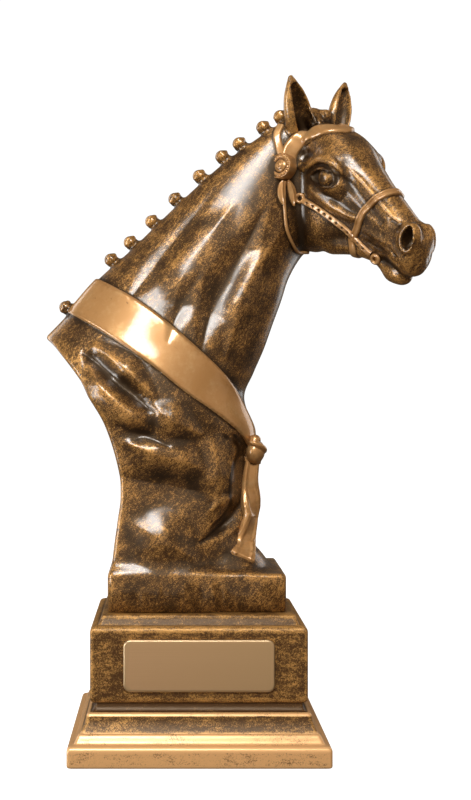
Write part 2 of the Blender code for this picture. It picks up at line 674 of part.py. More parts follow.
def ear(clay, side):
    """A leaf-shaped ear, hollow in front, over a rounded root."""
    base, tip, front, share = NEAR_EAR if side == RIGHT else FAR_EAR
    base, tip = head_point(*base, side), head_point(*tip, side)
    out = unit(tip - base)
    front = unit(np.array(front) - out * (np.array(front) @ out))
    steps = np.linspace(0, 1, 24)
    half = profile((0.0, 0.066), (0.15, 0.078), (0.40, 0.082), (0.65, 0.066), (0.85, 0.040), (1.0, 0.018))
    half = half(steps) * HEAD.unit * share
    line = base + np.outer(steps, tip - base)
    clay.add(shell(line, half, front, EAR_DEPTH), LIP_BLEND * HEAD.unit)
    opens = unit(np.array(EAR_OPENS) - out * (np.array(EAR_OPENS) @ out))
    hollow = half[3:-2] * EAR_BORE
    bore = line[3:-2] + opens * half[3:-2, None] * EAR_HOLLOW
    clay.cut(shell(bore, hollow, opens, EAR_BORE_DEPTH), CREASE_BLEND * HEAD.unit)


def shell(line, half, front, depth):
    """A tapering rod, its thickness along the direction front being a share, depth, of its width."""
    form = rod(line, half)
    middle = line.mean(0)
    front = np.asarray(front, np.float32)

    def stretch(places):
        local = places - middle.astype(np.float32)
        return local + (local @ front)[..., None] * front * (1 / depth - 1)

    wide = rod(stretch(line.astype(np.float32)), half)
    return Form(form.low, form.high, lambda points: wide.distance(stretch(points)) * (0.5 + 0.5 * depth))


def plaits(clay):
    """Button plaits standing along the crest, each a short stalk and a knob."""
    crest = curve(CREST, 40)
    size = BUST.unit
    for x in PLAITS:
        z, ahead_z = np.interp([x, x + 0.01], crest[:, 0], crest[:, 1])
        y = np.interp(z, [0.74, 0.90], [0.0, -0.026])
        foot = BUST.place((x, y, z))
        ahead = unit((0.01, 0.0, ahead_z - z))
        up = np.array([-ahead[2], 0, ahead[0]])
        knob = foot + up * PLAIT_STAND * size
        root = foot - (up * 0.011 - ahead * 0.006) * size
        neck = knob - up * 0.004 * size
        clay.add(rod([root, neck], np.array(PLAIT_STALK) * size), 0.0067 * size)
        clay.add(ellipsoid(knob, np.array((1, 1, 0.95)) * PLAIT_RADIUS * size), 0.0022 * size)


def sash(clay):
    """A band laid round the base of the neck: the body's own surface, raised between two lines."""
    top, low = curve(SASH_TOP, 6), curve(SASH_LOW, 6)
    outline = np.vstack([top, low[::-1]]) * BUST.unit + [BUST.origin[0], BUST.origin[2]]
    strip = slab(outline, 0.16 * BUST.unit)
    part, points = clay.window(strip.low, strip.high)
    lifted = SASH_THICKNESS * BUST.unit - clay.field[part]
    raised = -smooth_min(lifted, -strip.distance(points), SASH_EDGE * BUST.unit)
    clay.field[part] = np.minimum(clay.field[part], raised)


# The bow: the knot on the sash and its hanging end, laid on the chest, each place a share of BUST_HEIGHT
KNOT = (0.104, -0.034, 0.290)
KNOT_RADII = (0.0175, 0.0155, 0.0215)
RIBBON = ((0.105, -0.034, 0.268), (0.105, -0.036, 0.235), (0.106, -0.036, 0.200), (0.104, -0.038, 0.165),
          (0.096, -0.046, 0.130), (0.086, -0.056, 0.104), (0.082, -0.064, 0.090))
RIBBON_RADII = (0.007, 0.009, 0.011, 0.010, 0.009, 0.010)
RIBBON_SPREAD = (0.003, 0.005, 0.008, 0.006, 0.006, 0.010)


def bow(clay):
    """The sash's knot at the chest and its hanging end, wider towards its foot."""
    knot = clay.settle([BUST.place(KNOT)])[0]
    line = clay.settle(curve([BUST.place(p) for p in RIBBON], 5))
    out = outward(clay, line)
    across = np.cross(out, np.gradient(line, axis=0))
    across /= np.linalg.norm(across, axis=1)[:, None]
    steps = np.linspace(0, 1, len(line))
    spread = np.interp(steps, np.linspace(0, 1, len(RIBBON_SPREAD)), RIBBON_SPREAD) * BUST.unit
    for way in (-1, 1):
        edge = line + across * (way * spread)[:, None]
        clay.add(rod(edge, np.array(RIBBON_RADII) * BUST.unit), SMALL_BLEND * BUST.unit)
    facing = outward(clay, knot[None])[0]
    level = unit(np.cross((0.0, 0.0, 1.0), facing))
    centre = knot + facing * 0.008 * BUST.unit
    turned = (level, facing, np.cross(facing, level))
    clay.add(ellipsoid(centre, np.array(KNOT_RADII) * BUST.unit, turned), SMALL_BLEND * BUST.unit)


def outward(clay, points):
    slope = clay.sample(points)[1]
    return slope / np.linalg.norm(slope, axis=1)[:, None]


# Bridle: paths on the head's right side as shares of HEAD_LENGTH, along, to the side and up
BROWBAND = (
    (0.085, 0.215, -0.175), (0.053, 0.186, -0.123), (0.050, 0.154, -0.087), (0.066, 0.130, -0.045),
    (0.100, 0.112, 0.000), (0.145, 0.080, 0.040), (0.185, 0.035, 0.065), (0.198, 0.0, 0.068),
)
NOSEBAND = (
    (0.600, 0.100, -0.327), (0.615, 0.103, -0.276), (0.613, 0.115, -0.214), (0.610, 0.108, -0.168),
    (0.615, 0.092, -0.124), (0.631, 0.086, -0.078), (0.644, 0.070, -0.048), (0.649, 0.042, -0.029),
    (0.652, 0.0, -0.022),
)
CHEEKPIECE = (
    (0.251, 0.174, -0.310), (0.353, 0.167, -0.295), (0.450, 0.145, -0.295), (0.537, 0.120, -0.302),
    (0.596, 0.101, -0.308), (0.642, 0.085, -0.316), (0.694, 0.082, -0.325), (0.741, 0.076, -0.330),
)
CHIN_STRAP = ((0.597, 0.100, -0.327), (0.614, 0.094, -0.354), (0.632, 0.090, -0.380), (0.639, 0.070, -0.410),
              (0.645, 0.0, -0.425))
THROATLATCH = (
    (0.150, 0.250, -0.250), (0.173, 0.264, -0.288), (0.240, 0.274, -0.369), (0.304, 0.273, -0.454),
    (0.345, 0.232, -0.529), (0.352, 0.183, -0.577), (0.350, 0.090, -0.600),
)
HEADPIECE = (
    (0.071, 0.236, -0.169), (0.013, 0.239, -0.124), (-0.042, 0.228, -0.085), (-0.075, 0.190, -0.050),
)
PETALS = (
    ((0.140, 0.262, -0.250), (0.176, 0.277, -0.297), (0.221, 0.282, -0.349)),
    ((0.150, 0.235, -0.245), (0.190, 0.219, -0.294), (0.235, 0.221, -0.353)),
)
ROSETTE = (0.099, 0.232, -0.195)
ROSETTE_RADIUS = 0.068
ROSETTE_RISE = 0.026
BUCKLE = (0.235, 0.182, -0.309)
BIT_RING = (0.776, 0.070, -0.339)

# Width and relief of each strap, and radius and rise of each boss, as shares of HEAD_LENGTH
BROWBAND_SIZE = (0.060, 0.014)
NOSEBAND_SIZE = (0.042, 0.014)
CHIN_STRAP_SIZE = (0.041, 0.011)
CHEEKPIECE_SIZE = (0.034, 0.013)
THROATLATCH_SIZE = (0.020, 0.010)
HEADPIECE_SIZE = (0.044, 0.012)
PETAL_SIZE = (0.042, 0.015)
BUCKLE_SIZE = (0.026, 0.014)
BIT_RING_SIZE = (0.028, 0.015)


def strap(clay, path, size, side=RIGHT):
    """A low rounded strap laid on the head through points in the head's frame."""
    width, relief = np.array(size) * HEAD.unit
    line = clay.settle(curve([head_point(*p, side) for p in path], 6))
    radius = ((width / 2) ** 2 + relief**2) / (2 * relief)
    clay.add(rod(line - outward(clay, line) * (radius - relief), (radius, radius)))


def button(clay, point, radius, rise, side=RIGHT):
    """A low dome on the surface."""
    at = clay.settle([head_point(*point, side)])
    out = outward(clay, at)[0]
    across = unit(np.cross(out, (0.0, 0.0, 1.0)))
    radii = np.array((radius, radius, rise)) * HEAD.unit
    clay.add(ellipsoid(at[0], radii, (across, np.cross(out, across), out)))


def bridle(clay):
    for path, size in ((BROWBAND, BROWBAND_SIZE), (NOSEBAND, NOSEBAND_SIZE), (CHIN_STRAP, CHIN_STRAP_SIZE)):
        mirrored = tuple((a, -l, d) for a, l, d in reversed(path[:-1]))
        strap(clay, path + mirrored, size)
    for side in (RIGHT, LEFT):
        strap(clay, CHEEKPIECE, CHEEKPIECE_SIZE, side)
        strap(clay, THROATLATCH, THROATLATCH_SIZE, side)
        strap(clay, HEADPIECE, HEADPIECE_SIZE, side)
        for path in PETALS:
            strap(clay, path, PETAL_SIZE, side)
        button(clay, ROSETTE, ROSETTE_RADIUS, ROSETTE_RISE, side)
        button(clay, BUCKLE, *BUCKLE_SIZE, side)
        button(clay, BIT_RING, *BIT_RING_SIZE, side)


# The forelock's knobs: centre along, to the side and up, and radius, as shares of HEAD_LENGTH
FORELOCK = ((-0.055, 0.012, 0.004, 0.048), (-0.050, -0.022, 0.000, 0.042), (-0.020, -0.048, 0.034, 0.026),
            (0.000, 0.022, -0.004, 0.042), (-0.015, -0.040, 0.000, 0.042))


def forelock(clay):
    """The plaited forelock, a low knob between the ears."""
    for a, l, d, r in FORELOCK:
        clay.add(ellipsoid(head_point(a, l, d), np.full(3, r * HEAD.unit)), LIP_BLEND * HEAD.unit)


# Opposite corners of the box that holds the whole head, in the head's frame
HEAD_REACH = ((-0.22, -0.36, -0.66), (1.06, 0.36, 0.30))

# The mass that fills the corner between chest and block: centre and radii in shares of BUST_HEIGHT
CHEST_FOOT = ((0.078, -0.020, 0.066), (0.052, 0.065, 0.046))
BLOCK_SINK = 0.003


def carve_bust(cell):
    """The whole figure as clay, from the block to the ears."""
    body = trunk()
    corners = [HEAD.place([HEAD_REACH[i][0], HEAD_REACH[j][1], HEAD_REACH[k][2]])
               for i in (0, 1) for j in (0, 1) for k in (0, 1)]
    block_low = np.array([-BLOCK_WIDTH / 2, -BLOCK_DEPTH / 2, SEAT_Z - BLOCK_SINK])
    block_high = np.array([BLOCK_WIDTH / 2, BLOCK_DEPTH / 2, SEAT_Z + SEAT_GAP + BLOCK_HEIGHT])
    low = np.min([*corners, body.low, block_low], 0) - 4 * cell
    high = np.max([*corners, body.high, block_high], 0) + 4 * cell
    low[2] = block_low[2]
    clay = Clay(low, high, cell)
    clay.add(body)
    outline = np.vstack([curve(CUT, 8), CUT_BEYOND])
    back = slab(outline * BUST.unit + [BUST.origin[0], BUST.origin[2]], 0.2 * BUST.unit)
    clay.cut(back, CUT_BLEND * BUST.unit)
    clay.add(block(block_low, block_high, BLOCK_EDGE), FOOT_BLEND * BUST.unit)
    centre, radii = CHEST_FOOT
    clay.add(ellipsoid(BUST.place(centre), np.array(radii) * BUST.unit), FOOT_BLEND * BUST.unit)
    for path, radii, height in FLANKS:
        clay.swell(flank(path, radii), height * BUST.unit)
    carve_head(clay)
    sash(clay)
    bridle(clay)
    for side in (RIGHT, LEFT):
        ear(clay, side)
    plaits(clay)
    forelock(clay)
    bow(clay)
    return clay


def new_object(name, mesh, material):
    thing = bpy.data.objects.new(name, mesh)
    bpy.context.scene.collection.objects.link(thing)
    mesh.materials.append(material)
    return thing


def new_material(name, colour, roughness, metallic):
    material = bpy.data.materials.new(name)
    material.use_nodes = True
    shader = material.node_tree.nodes["Principled BSDF"]
    shader.inputs["Base Color"].default_value = (*colour, 1.0)
    shader.inputs["Roughness"].default_value = roughness
    shader.inputs["Metallic"].default_value = metallic
    return material


def make_bust(material):
    points, faces = skin(carve_bust(CELL))
    mesh = bpy.data.meshes.new("horse_bust")
    mesh.from_pydata(points.tolist(), [], faces.tolist())
    mesh.update()
    flat_bottom(mesh, BUST.origin[2])
    bust = new_object("horse_bust", mesh, material)
    fewer = bust.modifiers.new("Decimate", "DECIMATE")
    fewer.ratio = BUST_FACES / (2 * len(mesh.polygons))
    return bust


def ring(width, depth, corner, height):
    """One level of a moulding: a rectangle with rounded corners."""
    points = []
    for i, (sx, sy) in enumerate(((1, 1), (-1, 1), (-1, -1), (1, -1))):
        for step in range(CORNER_STEPS + 1):
            angle = math.pi / 2 * (i + step / CORNER_STEPS)
            points.append((
                sx * (width / 2 - corner) + corner * math.cos(angle),
                sy * (depth / 2 - corner) + corner * math.sin(angle),
                height,
            ))
    return points


def moulded(name, levels, material):
    """A closed solid through level rings, each (width, depth, corner, height)."""
    points = [p for level in levels for p in ring(*level)]
    around = 4 * (CORNER_STEPS + 1)
    faces = [tuple(reversed(range(around))), tuple(range(len(points) - around, len(points)))]
    for level in range(len(levels) - 1):
        for i in range(around):
            j = (i + 1) % around
            start = level * around
            faces.append((start + i, start + j, start + around + j, start + around + i))
    mesh = bpy.data.meshes.new(name)
    mesh.from_pydata(points, [], faces)
    return new_object(name, mesh, material)


def rounded_step(inset, height, edge, up):
    """Inset and height of points round one quarter of an edge; up is True at the top of a block."""
    found = []
    for step in range(4):
        angle = math.pi / 2 * step / 3
        if up:
            found.append((inset + edge * (1 - math.cos(angle)), height - edge * (1 - math.sin(angle))))
        else:
            found.append((inset + edge * (1 - math.sin(angle)), height + edge * (1 - math.cos(angle))))
    return found


def plinth_profile():
    """Inset from the base's width and depth, and height, from the bottom up."""
    inset, z = 0.0, 0.0
    found = rounded_step(inset, z, BASE_EDGE / 2, False)
    z += BASE_HEIGHT
    found += rounded_step(inset, z, BASE_EDGE, True)
    inset += BASE_EDGE
    for step in range(1, 7):
        share = step / 6
        wave = share - math.sin(2 * math.pi * share) / (2 * math.pi) * 0.8
        found.append((inset + (OGEE_INSET - BASE_EDGE) * share, z + OGEE_HEIGHT * wave))
    inset, z = OGEE_INSET, z + OGEE_HEIGHT
    for step in range(1, 5):
        share = step / 4
        found.append((inset + SLOPE_INSET * (1 - (1 - share) ** 1.5), z + SLOPE_HEIGHT * share))
    inset, z = inset + SLOPE_INSET, z + SLOPE_HEIGHT
    for step in range(1, 4):
        angle = math.pi / 2 * step / 3
        found.append((inset + BEAD_INSET * (1 - math.cos(angle)), z + BEAD_HEIGHT * math.sin(angle)))
    inset, z = inset + BEAD_INSET, z + BEAD_HEIGHT
    for step in range(1, 5):
        angle = math.pi / 2 * step / 4
        found.append((inset + COVE_INSET * math.sin(angle), z + COVE_HEIGHT * (1 - math.cos(angle))))
    z += COVE_HEIGHT
    die = (BASE_WIDTH - DIE_WIDTH) / 2
    found += rounded_step(die, z, DIE_EDGE, False)
    z += DIE_HEIGHT
    found += rounded_step(die, z, DIE_EDGE, True)
    found.append((die + STEP_INSET - STEP_EDGE, z))
    z += STEP_HEIGHT
    found += rounded_step(die + STEP_INSET, z, STEP_EDGE, True)
    return found


def make_plinth(material):
    depth_share = (BASE_DEPTH - DIE_DEPTH) / (BASE_WIDTH - DIE_WIDTH)
    levels = []
    for inset, z in plinth_profile():
        level = (BASE_WIDTH - 2 * inset, BASE_DEPTH - 2 * inset * depth_share, PLINTH_CORNER, z)
        if levels and math.hypot(levels[-1][0] - level[0], levels[-1][3] - z) < 1e-5:
            continue
        levels.append(level)
    return moulded("plinth", levels, material)


def make_plate(material):
    """The name plate, upright on the front of the die with a hair's gap behind it."""
    face = (PLATE_WIDTH - 2 * PLATE_EDGE, PLATE_HEIGHT - 2 * PLATE_EDGE, PLATE_CORNER - PLATE_EDGE)
    levels = [
        (PLATE_WIDTH, PLATE_HEIGHT, PLATE_CORNER, 0.0),
        (PLATE_WIDTH, PLATE_HEIGHT, PLATE_CORNER, PLATE_THICKNESS - PLATE_EDGE),
        (*face, PLATE_THICKNESS),
    ]
    plate = moulded("name_plate", levels, material)
    die_low = SEAT_Z - STEP_HEIGHT - DIE_HEIGHT
    for vertex in plate.data.vertices:
        x, y, z = vertex.co
        vertex.co = (x, -DIE_DEPTH / 2 - PLATE_GAP - z, die_low + DIE_HEIGHT / 2 + y)
    return plate


def flat_bottom(mesh, height):
    """Cuts the mesh off level, and closes it."""
    shape = bmesh.new()
    shape.from_mesh(mesh)
    everything = shape.verts[:] + shape.edges[:] + shape.faces[:]
    cut = bmesh.ops.bisect_plane(shape, geom=everything, plane_co=(0, 0, height), plane_no=(0, 0, -1),
                                 clear_outer=True)
    edges = [e for e in cut["geom_cut"] if isinstance(e, bmesh.types.BMEdge)]
    bmesh.ops.edgeloop_fill(shape, edges=edges)
    bmesh.ops.recalc_face_normals(shape, faces=shape.faces[:])
    shape.to_mesh(mesh)
    shape.free()


def clear_scene():
    for thing in list(bpy.data.objects):
        bpy.data.objects.remove(thing, do_unlink=True)


def main():
    clear_scene()
    bronze = new_material("bronze_finish", (0.23, 0.13, 0.05), 0.35, 0.6)
    make_bust(bronze)
    make_plinth(bronze)
    make_plate(new_material("plate_metal", (0.60, 0.45, 0.27), 0.3, 1.0))


main()
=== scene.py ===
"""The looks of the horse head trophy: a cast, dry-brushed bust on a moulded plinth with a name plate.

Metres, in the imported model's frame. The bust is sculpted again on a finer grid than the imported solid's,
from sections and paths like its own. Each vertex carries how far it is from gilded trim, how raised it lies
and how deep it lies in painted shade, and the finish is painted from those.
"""

import math
from collections import namedtuple

import bmesh
import bpy
import numpy as np
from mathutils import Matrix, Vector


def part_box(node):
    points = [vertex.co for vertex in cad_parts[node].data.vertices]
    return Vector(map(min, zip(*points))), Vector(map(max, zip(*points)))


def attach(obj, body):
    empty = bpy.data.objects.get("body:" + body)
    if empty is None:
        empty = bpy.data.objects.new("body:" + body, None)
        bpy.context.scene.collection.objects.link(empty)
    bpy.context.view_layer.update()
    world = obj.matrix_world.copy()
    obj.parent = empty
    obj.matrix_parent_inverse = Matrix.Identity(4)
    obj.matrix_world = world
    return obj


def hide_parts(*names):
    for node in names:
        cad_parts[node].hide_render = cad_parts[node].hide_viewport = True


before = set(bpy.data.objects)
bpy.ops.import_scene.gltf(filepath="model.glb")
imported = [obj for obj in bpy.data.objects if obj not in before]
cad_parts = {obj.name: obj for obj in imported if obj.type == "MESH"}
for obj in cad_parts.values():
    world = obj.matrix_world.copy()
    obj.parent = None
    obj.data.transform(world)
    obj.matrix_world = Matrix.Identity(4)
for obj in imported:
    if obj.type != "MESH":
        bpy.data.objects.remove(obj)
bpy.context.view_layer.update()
PLINTH_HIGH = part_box("plinth")[1]
PLATE_LOW, PLATE_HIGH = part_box("name_plate")
BUST_LOW, BUST_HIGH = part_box("horse_bust")

# Plinth: each moulding's own height and how far it stands in from the one below
BASE_WIDTH = 0.0836
BASE_DEPTH = 0.0676
BASE_HEIGHT = 0.0070
BASE_EDGE = 0.0016
OGEE_HEIGHT = 0.0030
OGEE_INSET = 0.0040
SLOPE_HEIGHT = 0.0048
SLOPE_INSET = 0.0018
BEAD_HEIGHT = 0.0012
BEAD_INSET = 0.0010
COVE_HEIGHT = 0.0026
COVE_INSET = 0.0016
DIE_WIDTH = 0.0698
DIE_DEPTH = 0.0540
DIE_EDGE = 0.0018
STEP_HEIGHT = 0.0031
STEP_INSET = 0.0034
STEP_EDGE = 0.0009
PLINTH_CORNER = 0.0009
PLATE_CORNER = 0.0022
PLATE_EDGE = 0.0004

# Bust: its foot block and its full height; the free form above is in shares of that height
SEAT_Z = BUST_LOW.z
BUST_HEIGHT = 0.1800
BLOCK_WIDTH = 0.0574
BLOCK_DEPTH = 0.0390
BLOCK_HEIGHT = 0.0122
BLOCK_EDGE = 0.0012

# Head: its length from poll to lip, its turn, tilt and lean in degrees
HEAD_LENGTH = 0.0630
HEAD_TURN = 48.0
HEAD_PITCH = 40.5
HEAD_LEAN = -14.0

# Sculpting grid and triangles kept from it, for the bust and for its small ornaments
CELL = 0.00044
BUST_TRIANGLES = 190000
ORNAMENT_CELL = 0.00022
ORNAMENT_TRIANGLES = 40000

# How far the painted shade reaches beside the straps and the other marked forms, and how dark it is
SHADE_REACH = 0.0007
SHADE_DEPTH = 0.30

OUTSIDE = 1.0
Form = namedtuple("Form", "low high distance")


def smooth_min(a, b, blend):
    """The lesser of two distances, with the crease between them filled over the length blend."""
    if blend <= 0:
        return np.minimum(a, b)
    share = np.clip(0.5 + 0.5 * (b - a) / blend, 0, 1)
    return b + (a - b) * share - blend * share * (1 - share)


def read_grid(field, low, cell, points):
    """The value of a field between its grid corners, and its slope."""
    place = (np.asarray(points, float) - low) / cell
    corner = np.clip(np.floor(place).astype(int), 0, np.array(field.shape) - 2)
    share = np.clip(place - corner, 0, 1)
    value = np.zeros(len(place))
    slope = np.zeros((len(place), 3))
    for i in range(8):
        step = np.array([i >> 2 & 1, i >> 1 & 1, i & 1])
        weight = np.where(step, share, 1 - share)
        at = field[tuple((corner + step).T)]
        value += weight.prod(1) * at
        for k in range(3):
            others = np.delete(weight, k, 1).prod(1)
            slope[:, k] += (1 if step[k] else -1) * others * at / cell
    return value, slope


class Clay:
    """Signed distances, negative inside, on a grid of small cubes, and the like for gilding and shade."""

    def __init__(self, low, high, cell):
        self.cell = cell
        self.low = np.asarray(low, float)
        self.count = np.ceil((np.asarray(high) - self.low) / cell).astype(int) + 1
        self.field = np.full(self.count, OUTSIDE, np.float32)
        self.gilding = np.full(self.count, OUTSIDE, np.float32)
        self.shade = np.full(self.count, OUTSIDE, np.float32)

    def window(self, low, high):
        """The part of the grid between two corners, and its points."""
        first = np.clip(np.floor((low - self.low) / self.cell), 0, self.count).astype(int)
        last = np.clip(np.ceil((high - self.low) / self.cell) + 1, 0, self.count).astype(int)
        axes = [self.low[k] + self.cell * np.arange(first[k], last[k]) for k in range(3)]
        points = np.stack(np.meshgrid(*axes, indexing="ij"), -1).astype(np.float32)
        return tuple(slice(a, b) for a, b in zip(first, last)), points

    def add(self, form, blend=0.0, gilt=False):
        part, points = self.window(form.low - blend, form.high + blend)
        distance = form.distance(points)
        self.field[part] = smooth_min(self.field[part], distance, blend)
        if gilt:
            self.gilding[part] = np.minimum(self.gilding[part], distance)

    def mark(self, form):
        """Marks the surface near a form for painted shade, without changing its shape; the eye's pupil is
        marked dark the same way.
        """
        part, points = self.window(form.low - SHADE_REACH, form.high + SHADE_REACH)
        self.shade[part] = np.minimum(self.shade[part], form.distance(points))

    def cut(self, form, blend=0.0):
        part, points = self.window(form.low - blend, form.high + blend)
        self.field[part] = -smooth_min(-self.field[part], form.distance(points), blend)

    def swell(self, form, height):
        """Raises the surface by height at the middle of a form, fading out at its skin. Negative sinks it."""
        part, points = self.window(form.low, form.high)
        share = np.clip(-form.distance(points), 0, 1)
        self.field[part] -= height * share * share * (3 - 2 * share)

    def sample(self, points):
        return read_grid(self.field, self.low, self.cell, points)

    def settle(self, points, lift=0.0, rounds=24):
        """Points moved along the slope until they lie on the surface, or stand off it by lift."""
        points = np.array(points, float)
        for _ in range(rounds):
            value, slope = self.sample(points)
            length = np.maximum((slope**2).sum(1), 0.05)
            points -= 0.7 * ((value - lift) / length)[:, None] * slope
        return points

    def outward(self, points):
        slope = self.sample(points)[1]
        return slope / np.linalg.norm(slope, axis=1)[:, None]


def untangle(field):
    """Fills the corners where two walls would meet along one edge, which no solid has."""
    for _ in range(12):
        changed = 0
        for k in range(3):
            u, v = [m for m in range(3) if m != k]
            corners = []
            for i, j in ((0, 0), (1, 0), (1, 1), (0, 1)):
                part = [slice(None)] * 3
                part[u] = slice(i, field.shape[u] - 1 + i)
                part[v] = slice(j, field.shape[v] - 1 + j)
                corners.append(field[tuple(part)])
            a, b, c, d = (x < 0 for x in corners)
            crossed = (a == c) & (b == d) & (a != b)
            changed += int(crossed.sum())
            first, second = crossed & ~a, crossed & a
            corners[0][first] = -1e-6
            corners[1][second] = -1e-6
        if not changed:
            return field
    return field


def skin(clay):
    """The zero surface of the clay as points and four-sided faces: one point in each cube that it crosses."""
    field = clay.field
    for k in range(3):
        for edge in (0, -1):
            wall = np.moveaxis(field, k, 0)
            wall[edge] = np.maximum(wall[edge], clay.cell)
    field = untangle(field)
    inside = field < 0
    count = np.array(field.shape) - 1
    total = np.zeros(tuple(count) + (3,), np.float32)
    hits = np.zeros(tuple(count), np.int16)
    crossings = []
    for k in range(3):
        ahead = [slice(None)] * 3
        ahead[k] = slice(1, None)
        behind = [slice(None)] * 3
        behind[k] = slice(None, -1)
        a, b = field[tuple(behind)], field[tuple(ahead)]
        where = np.argwhere(inside[tuple(behind)] != inside[tuple(ahead)])
        index = tuple(where.T)
        share = a[index] / (a[index] - b[index])
        place = where.astype(np.float32)
        place[:, k] += share
        u, v = [m for m in range(3) if m != k]
        for i in (0, 1):
            for j in (0, 1):
                cube = where.copy()
                cube[:, u] -= i
                cube[:, v] -= j
                good = ((cube >= 0) & (cube < count)).all(1)
                at = tuple(cube[good].T)
                np.add.at(total, at, place[good])
                np.add.at(hits, at, 1)
        crossings.append((k, u, v, where, inside[tuple(behind)][index]))
    used = np.argwhere(hits > 0)
    number = np.full(tuple(count), -1, np.int64)
    number[tuple(used.T)] = np.arange(len(used))
    points = total[tuple(used.T)] / hits[tuple(used.T)][:, None]
    faces = []
    for k, u, v, where, starts_inside in crossings:
        ring = []
        for i, j in ((1, 1), (0, 1), (0, 0), (1, 0)):
            cube = where.copy()
            cube[:, u] -= i
            cube[:, v] -= j
            ring.append(number[tuple(cube.T)])
        quad = np.stack(ring, 1)
        flip = starts_inside == (k == 1)
        quad[flip] = quad[flip][:, ::-1]
        faces.append(quad)
    return points * clay.cell + clay.low, np.concatenate(faces)


class Frame:
    """A local frame: its origin, its three unit axes as rows, and the length that its shares are of."""

    def __init__(self, origin, axes, unit):
        self.origin = np.asarray(origin, float)
        self.axes = np.asarray(axes, float)
        self.unit = unit

    def place(self, local):
        return self.origin + np.asarray(local, float) * self.unit @ self.axes

    def into(self, points):
        return (points - self.origin.astype(np.float32)) @ self.axes.T.astype(np.float32)


def unit(vector):
    return np.asarray(vector, float) / np.linalg.norm(vector)


def curve(points, steps=8):
    """A smooth line through the points, with steps from each to the next."""
    points = np.asarray(points, float)
    ends = np.vstack([2 * points[0] - points[1], points, 2 * points[-1] - points[-2]])
    t = np.arange(steps)[:, None] / steps
    line = []
    for a, b, c, d in zip(ends, ends[1:], ends[2:], ends[3:]):
        line.append(
            b + 0.5 * t * (c - a + t * (2 * a - 5 * b + 4 * c - d + t * (3 * (b - c) + d - a)))
        )
    return np.vstack(line + [points[-1:]])


def profile(*pairs):
    """A smooth function through (place, value) pairs, level beyond its ends."""
    line = curve(pairs, 12)
    return lambda x: np.interp(x, line[:, 0], line[:, 1])


def ellipsoid(centre, radii, axes=np.eye(3)):
    centre = np.asarray(centre, np.float32)
    radii = np.asarray(radii, np.float32)
    axes = np.asarray(axes, np.float32)
    reach = np.sqrt(((axes * radii[:, None]) ** 2).sum(0))

    def distance(points):
        local = (points - centre) @ axes.T / radii
        near = np.maximum(np.sqrt((local**2).sum(-1)), 1e-4)
        steep = np.sqrt(((local / radii) ** 2).sum(-1))
        return near * (near - 1) / np.maximum(steep, 1e-6)

    return Form(centre - reach, centre + reach, distance)


def rod(line, radii, share=False):
    """A round rod along a line, of running radius; share gives its depth as a share of the widest."""
    line = np.asarray(line, float)
    radii = np.interp(np.linspace(0, 1, len(line)), np.linspace(0, 1, len(radii)), radii)
    widest = radii.max()
    low = (line - radii[:, None]).min(0)
    high = (line + radii[:, None]).max(0)

    def distance(points):
        best = np.full(points.shape[:-1], OUTSIDE, np.float32)
        for a, b, ra, rb in zip(line, line[1:], radii, radii[1:]):
            along = (b - a).astype(np.float32)
            from_a = points - a.astype(np.float32)
            t = np.clip(from_a @ along / max(along @ along, 1e-12), 0, 1)
            gap = np.sqrt(((from_a - t[..., None] * along) ** 2).sum(-1))
            radius = ra + t * (rb - ra)
            best = np.minimum(best, (gap - radius) / widest if share else gap - radius)
        return best

    return Form(low, high, distance)


def band(line, out, width, height, sink=0.0010, edge=0.0003):
    """A flat band along a line on a surface whose outward direction at each point is out."""
    line = np.asarray(line, float)
    along = np.gradient(line, axis=0)
    across = np.cross(out, along)
    across /= np.linalg.norm(across, axis=1)[:, None]
    half = np.broadcast_to(np.asarray(width, float) / 2, len(line))
    reach = half.max() + height + sink
    thick = (height + sink) / 2

    def distance(points):
        best = np.full(points.shape[:-1], OUTSIDE, np.float32)
        for i in range(len(line) - 1):
            seg = (line[i + 1] - line[i]).astype(np.float32)
            rest = points - line[i].astype(np.float32)
            t = np.clip(rest @ seg / max(seg @ seg, 1e-12), 0, 1)
            rest = rest - t[..., None] * seg
            side = np.abs(rest @ across[i].astype(np.float32))
            level = rest @ out[i].astype(np.float32)
            ends = np.abs(rest @ (seg / max(np.linalg.norm(seg), 1e-9)))
            dx = side - (half[i] + t * (half[i + 1] - half[i]) - edge)
            dz = np.abs(level - (height - sink) / 2) - (thick - edge)
            gap = np.sqrt(np.maximum(dx, 0) ** 2 + np.maximum(dz, 0) ** 2 + ends**2)
            best = np.minimum(best, gap + np.minimum(np.maximum(dx, dz), 0) - edge)
        return best

    return Form(line.min(0) - reach, line.max(0) + reach, distance)


def block(low, high, edge):
    """A box with rounded edges."""
    low, high = np.asarray(low, float), np.asarray(high, float)
    centre = ((low + high) / 2).astype(np.float32)
    half = ((high - low) / 2 - edge).astype(np.float32)

    def distance(points):
        away = np.abs(points - centre) - half
        outer = np.sqrt((np.maximum(away, 0) ** 2).sum(-1))
        return outer + np.minimum(away.max(-1), 0) - edge

    return Form(low, high, distance)


def flat_distance(outline, points):
    """Signed distance in the side view, X against Z, to a closed outline, the same at every Y."""
    outline = np.asarray(outline, np.float32)
    at = points[:, :1, :, :][..., [0, 2]]
    best = np.full(at.shape[:-1], OUTSIDE, np.float32)
    odd = np.zeros(at.shape[:-1], bool)
    for a, b in zip(outline, np.roll(outline, -1, 0)):
        along = b - a
        from_a = at - a
        t = np.clip(from_a @ along / max(along @ along, 1e-12), 0, 1)
        best = np.minimum(best, np.sqrt(((from_a - t[..., None] * along) ** 2).sum(-1)))
        spans = (a[1] > at[..., 1]) != (b[1] > at[..., 1])
        meets = a[0] + (at[..., 1] - a[1]) / (along[1] if along[1] else 1e-9) * along[0]
        odd ^= spans & (at[..., 0] < meets)
    return np.broadcast_to(np.where(odd, -best, best), points.shape[:-1])


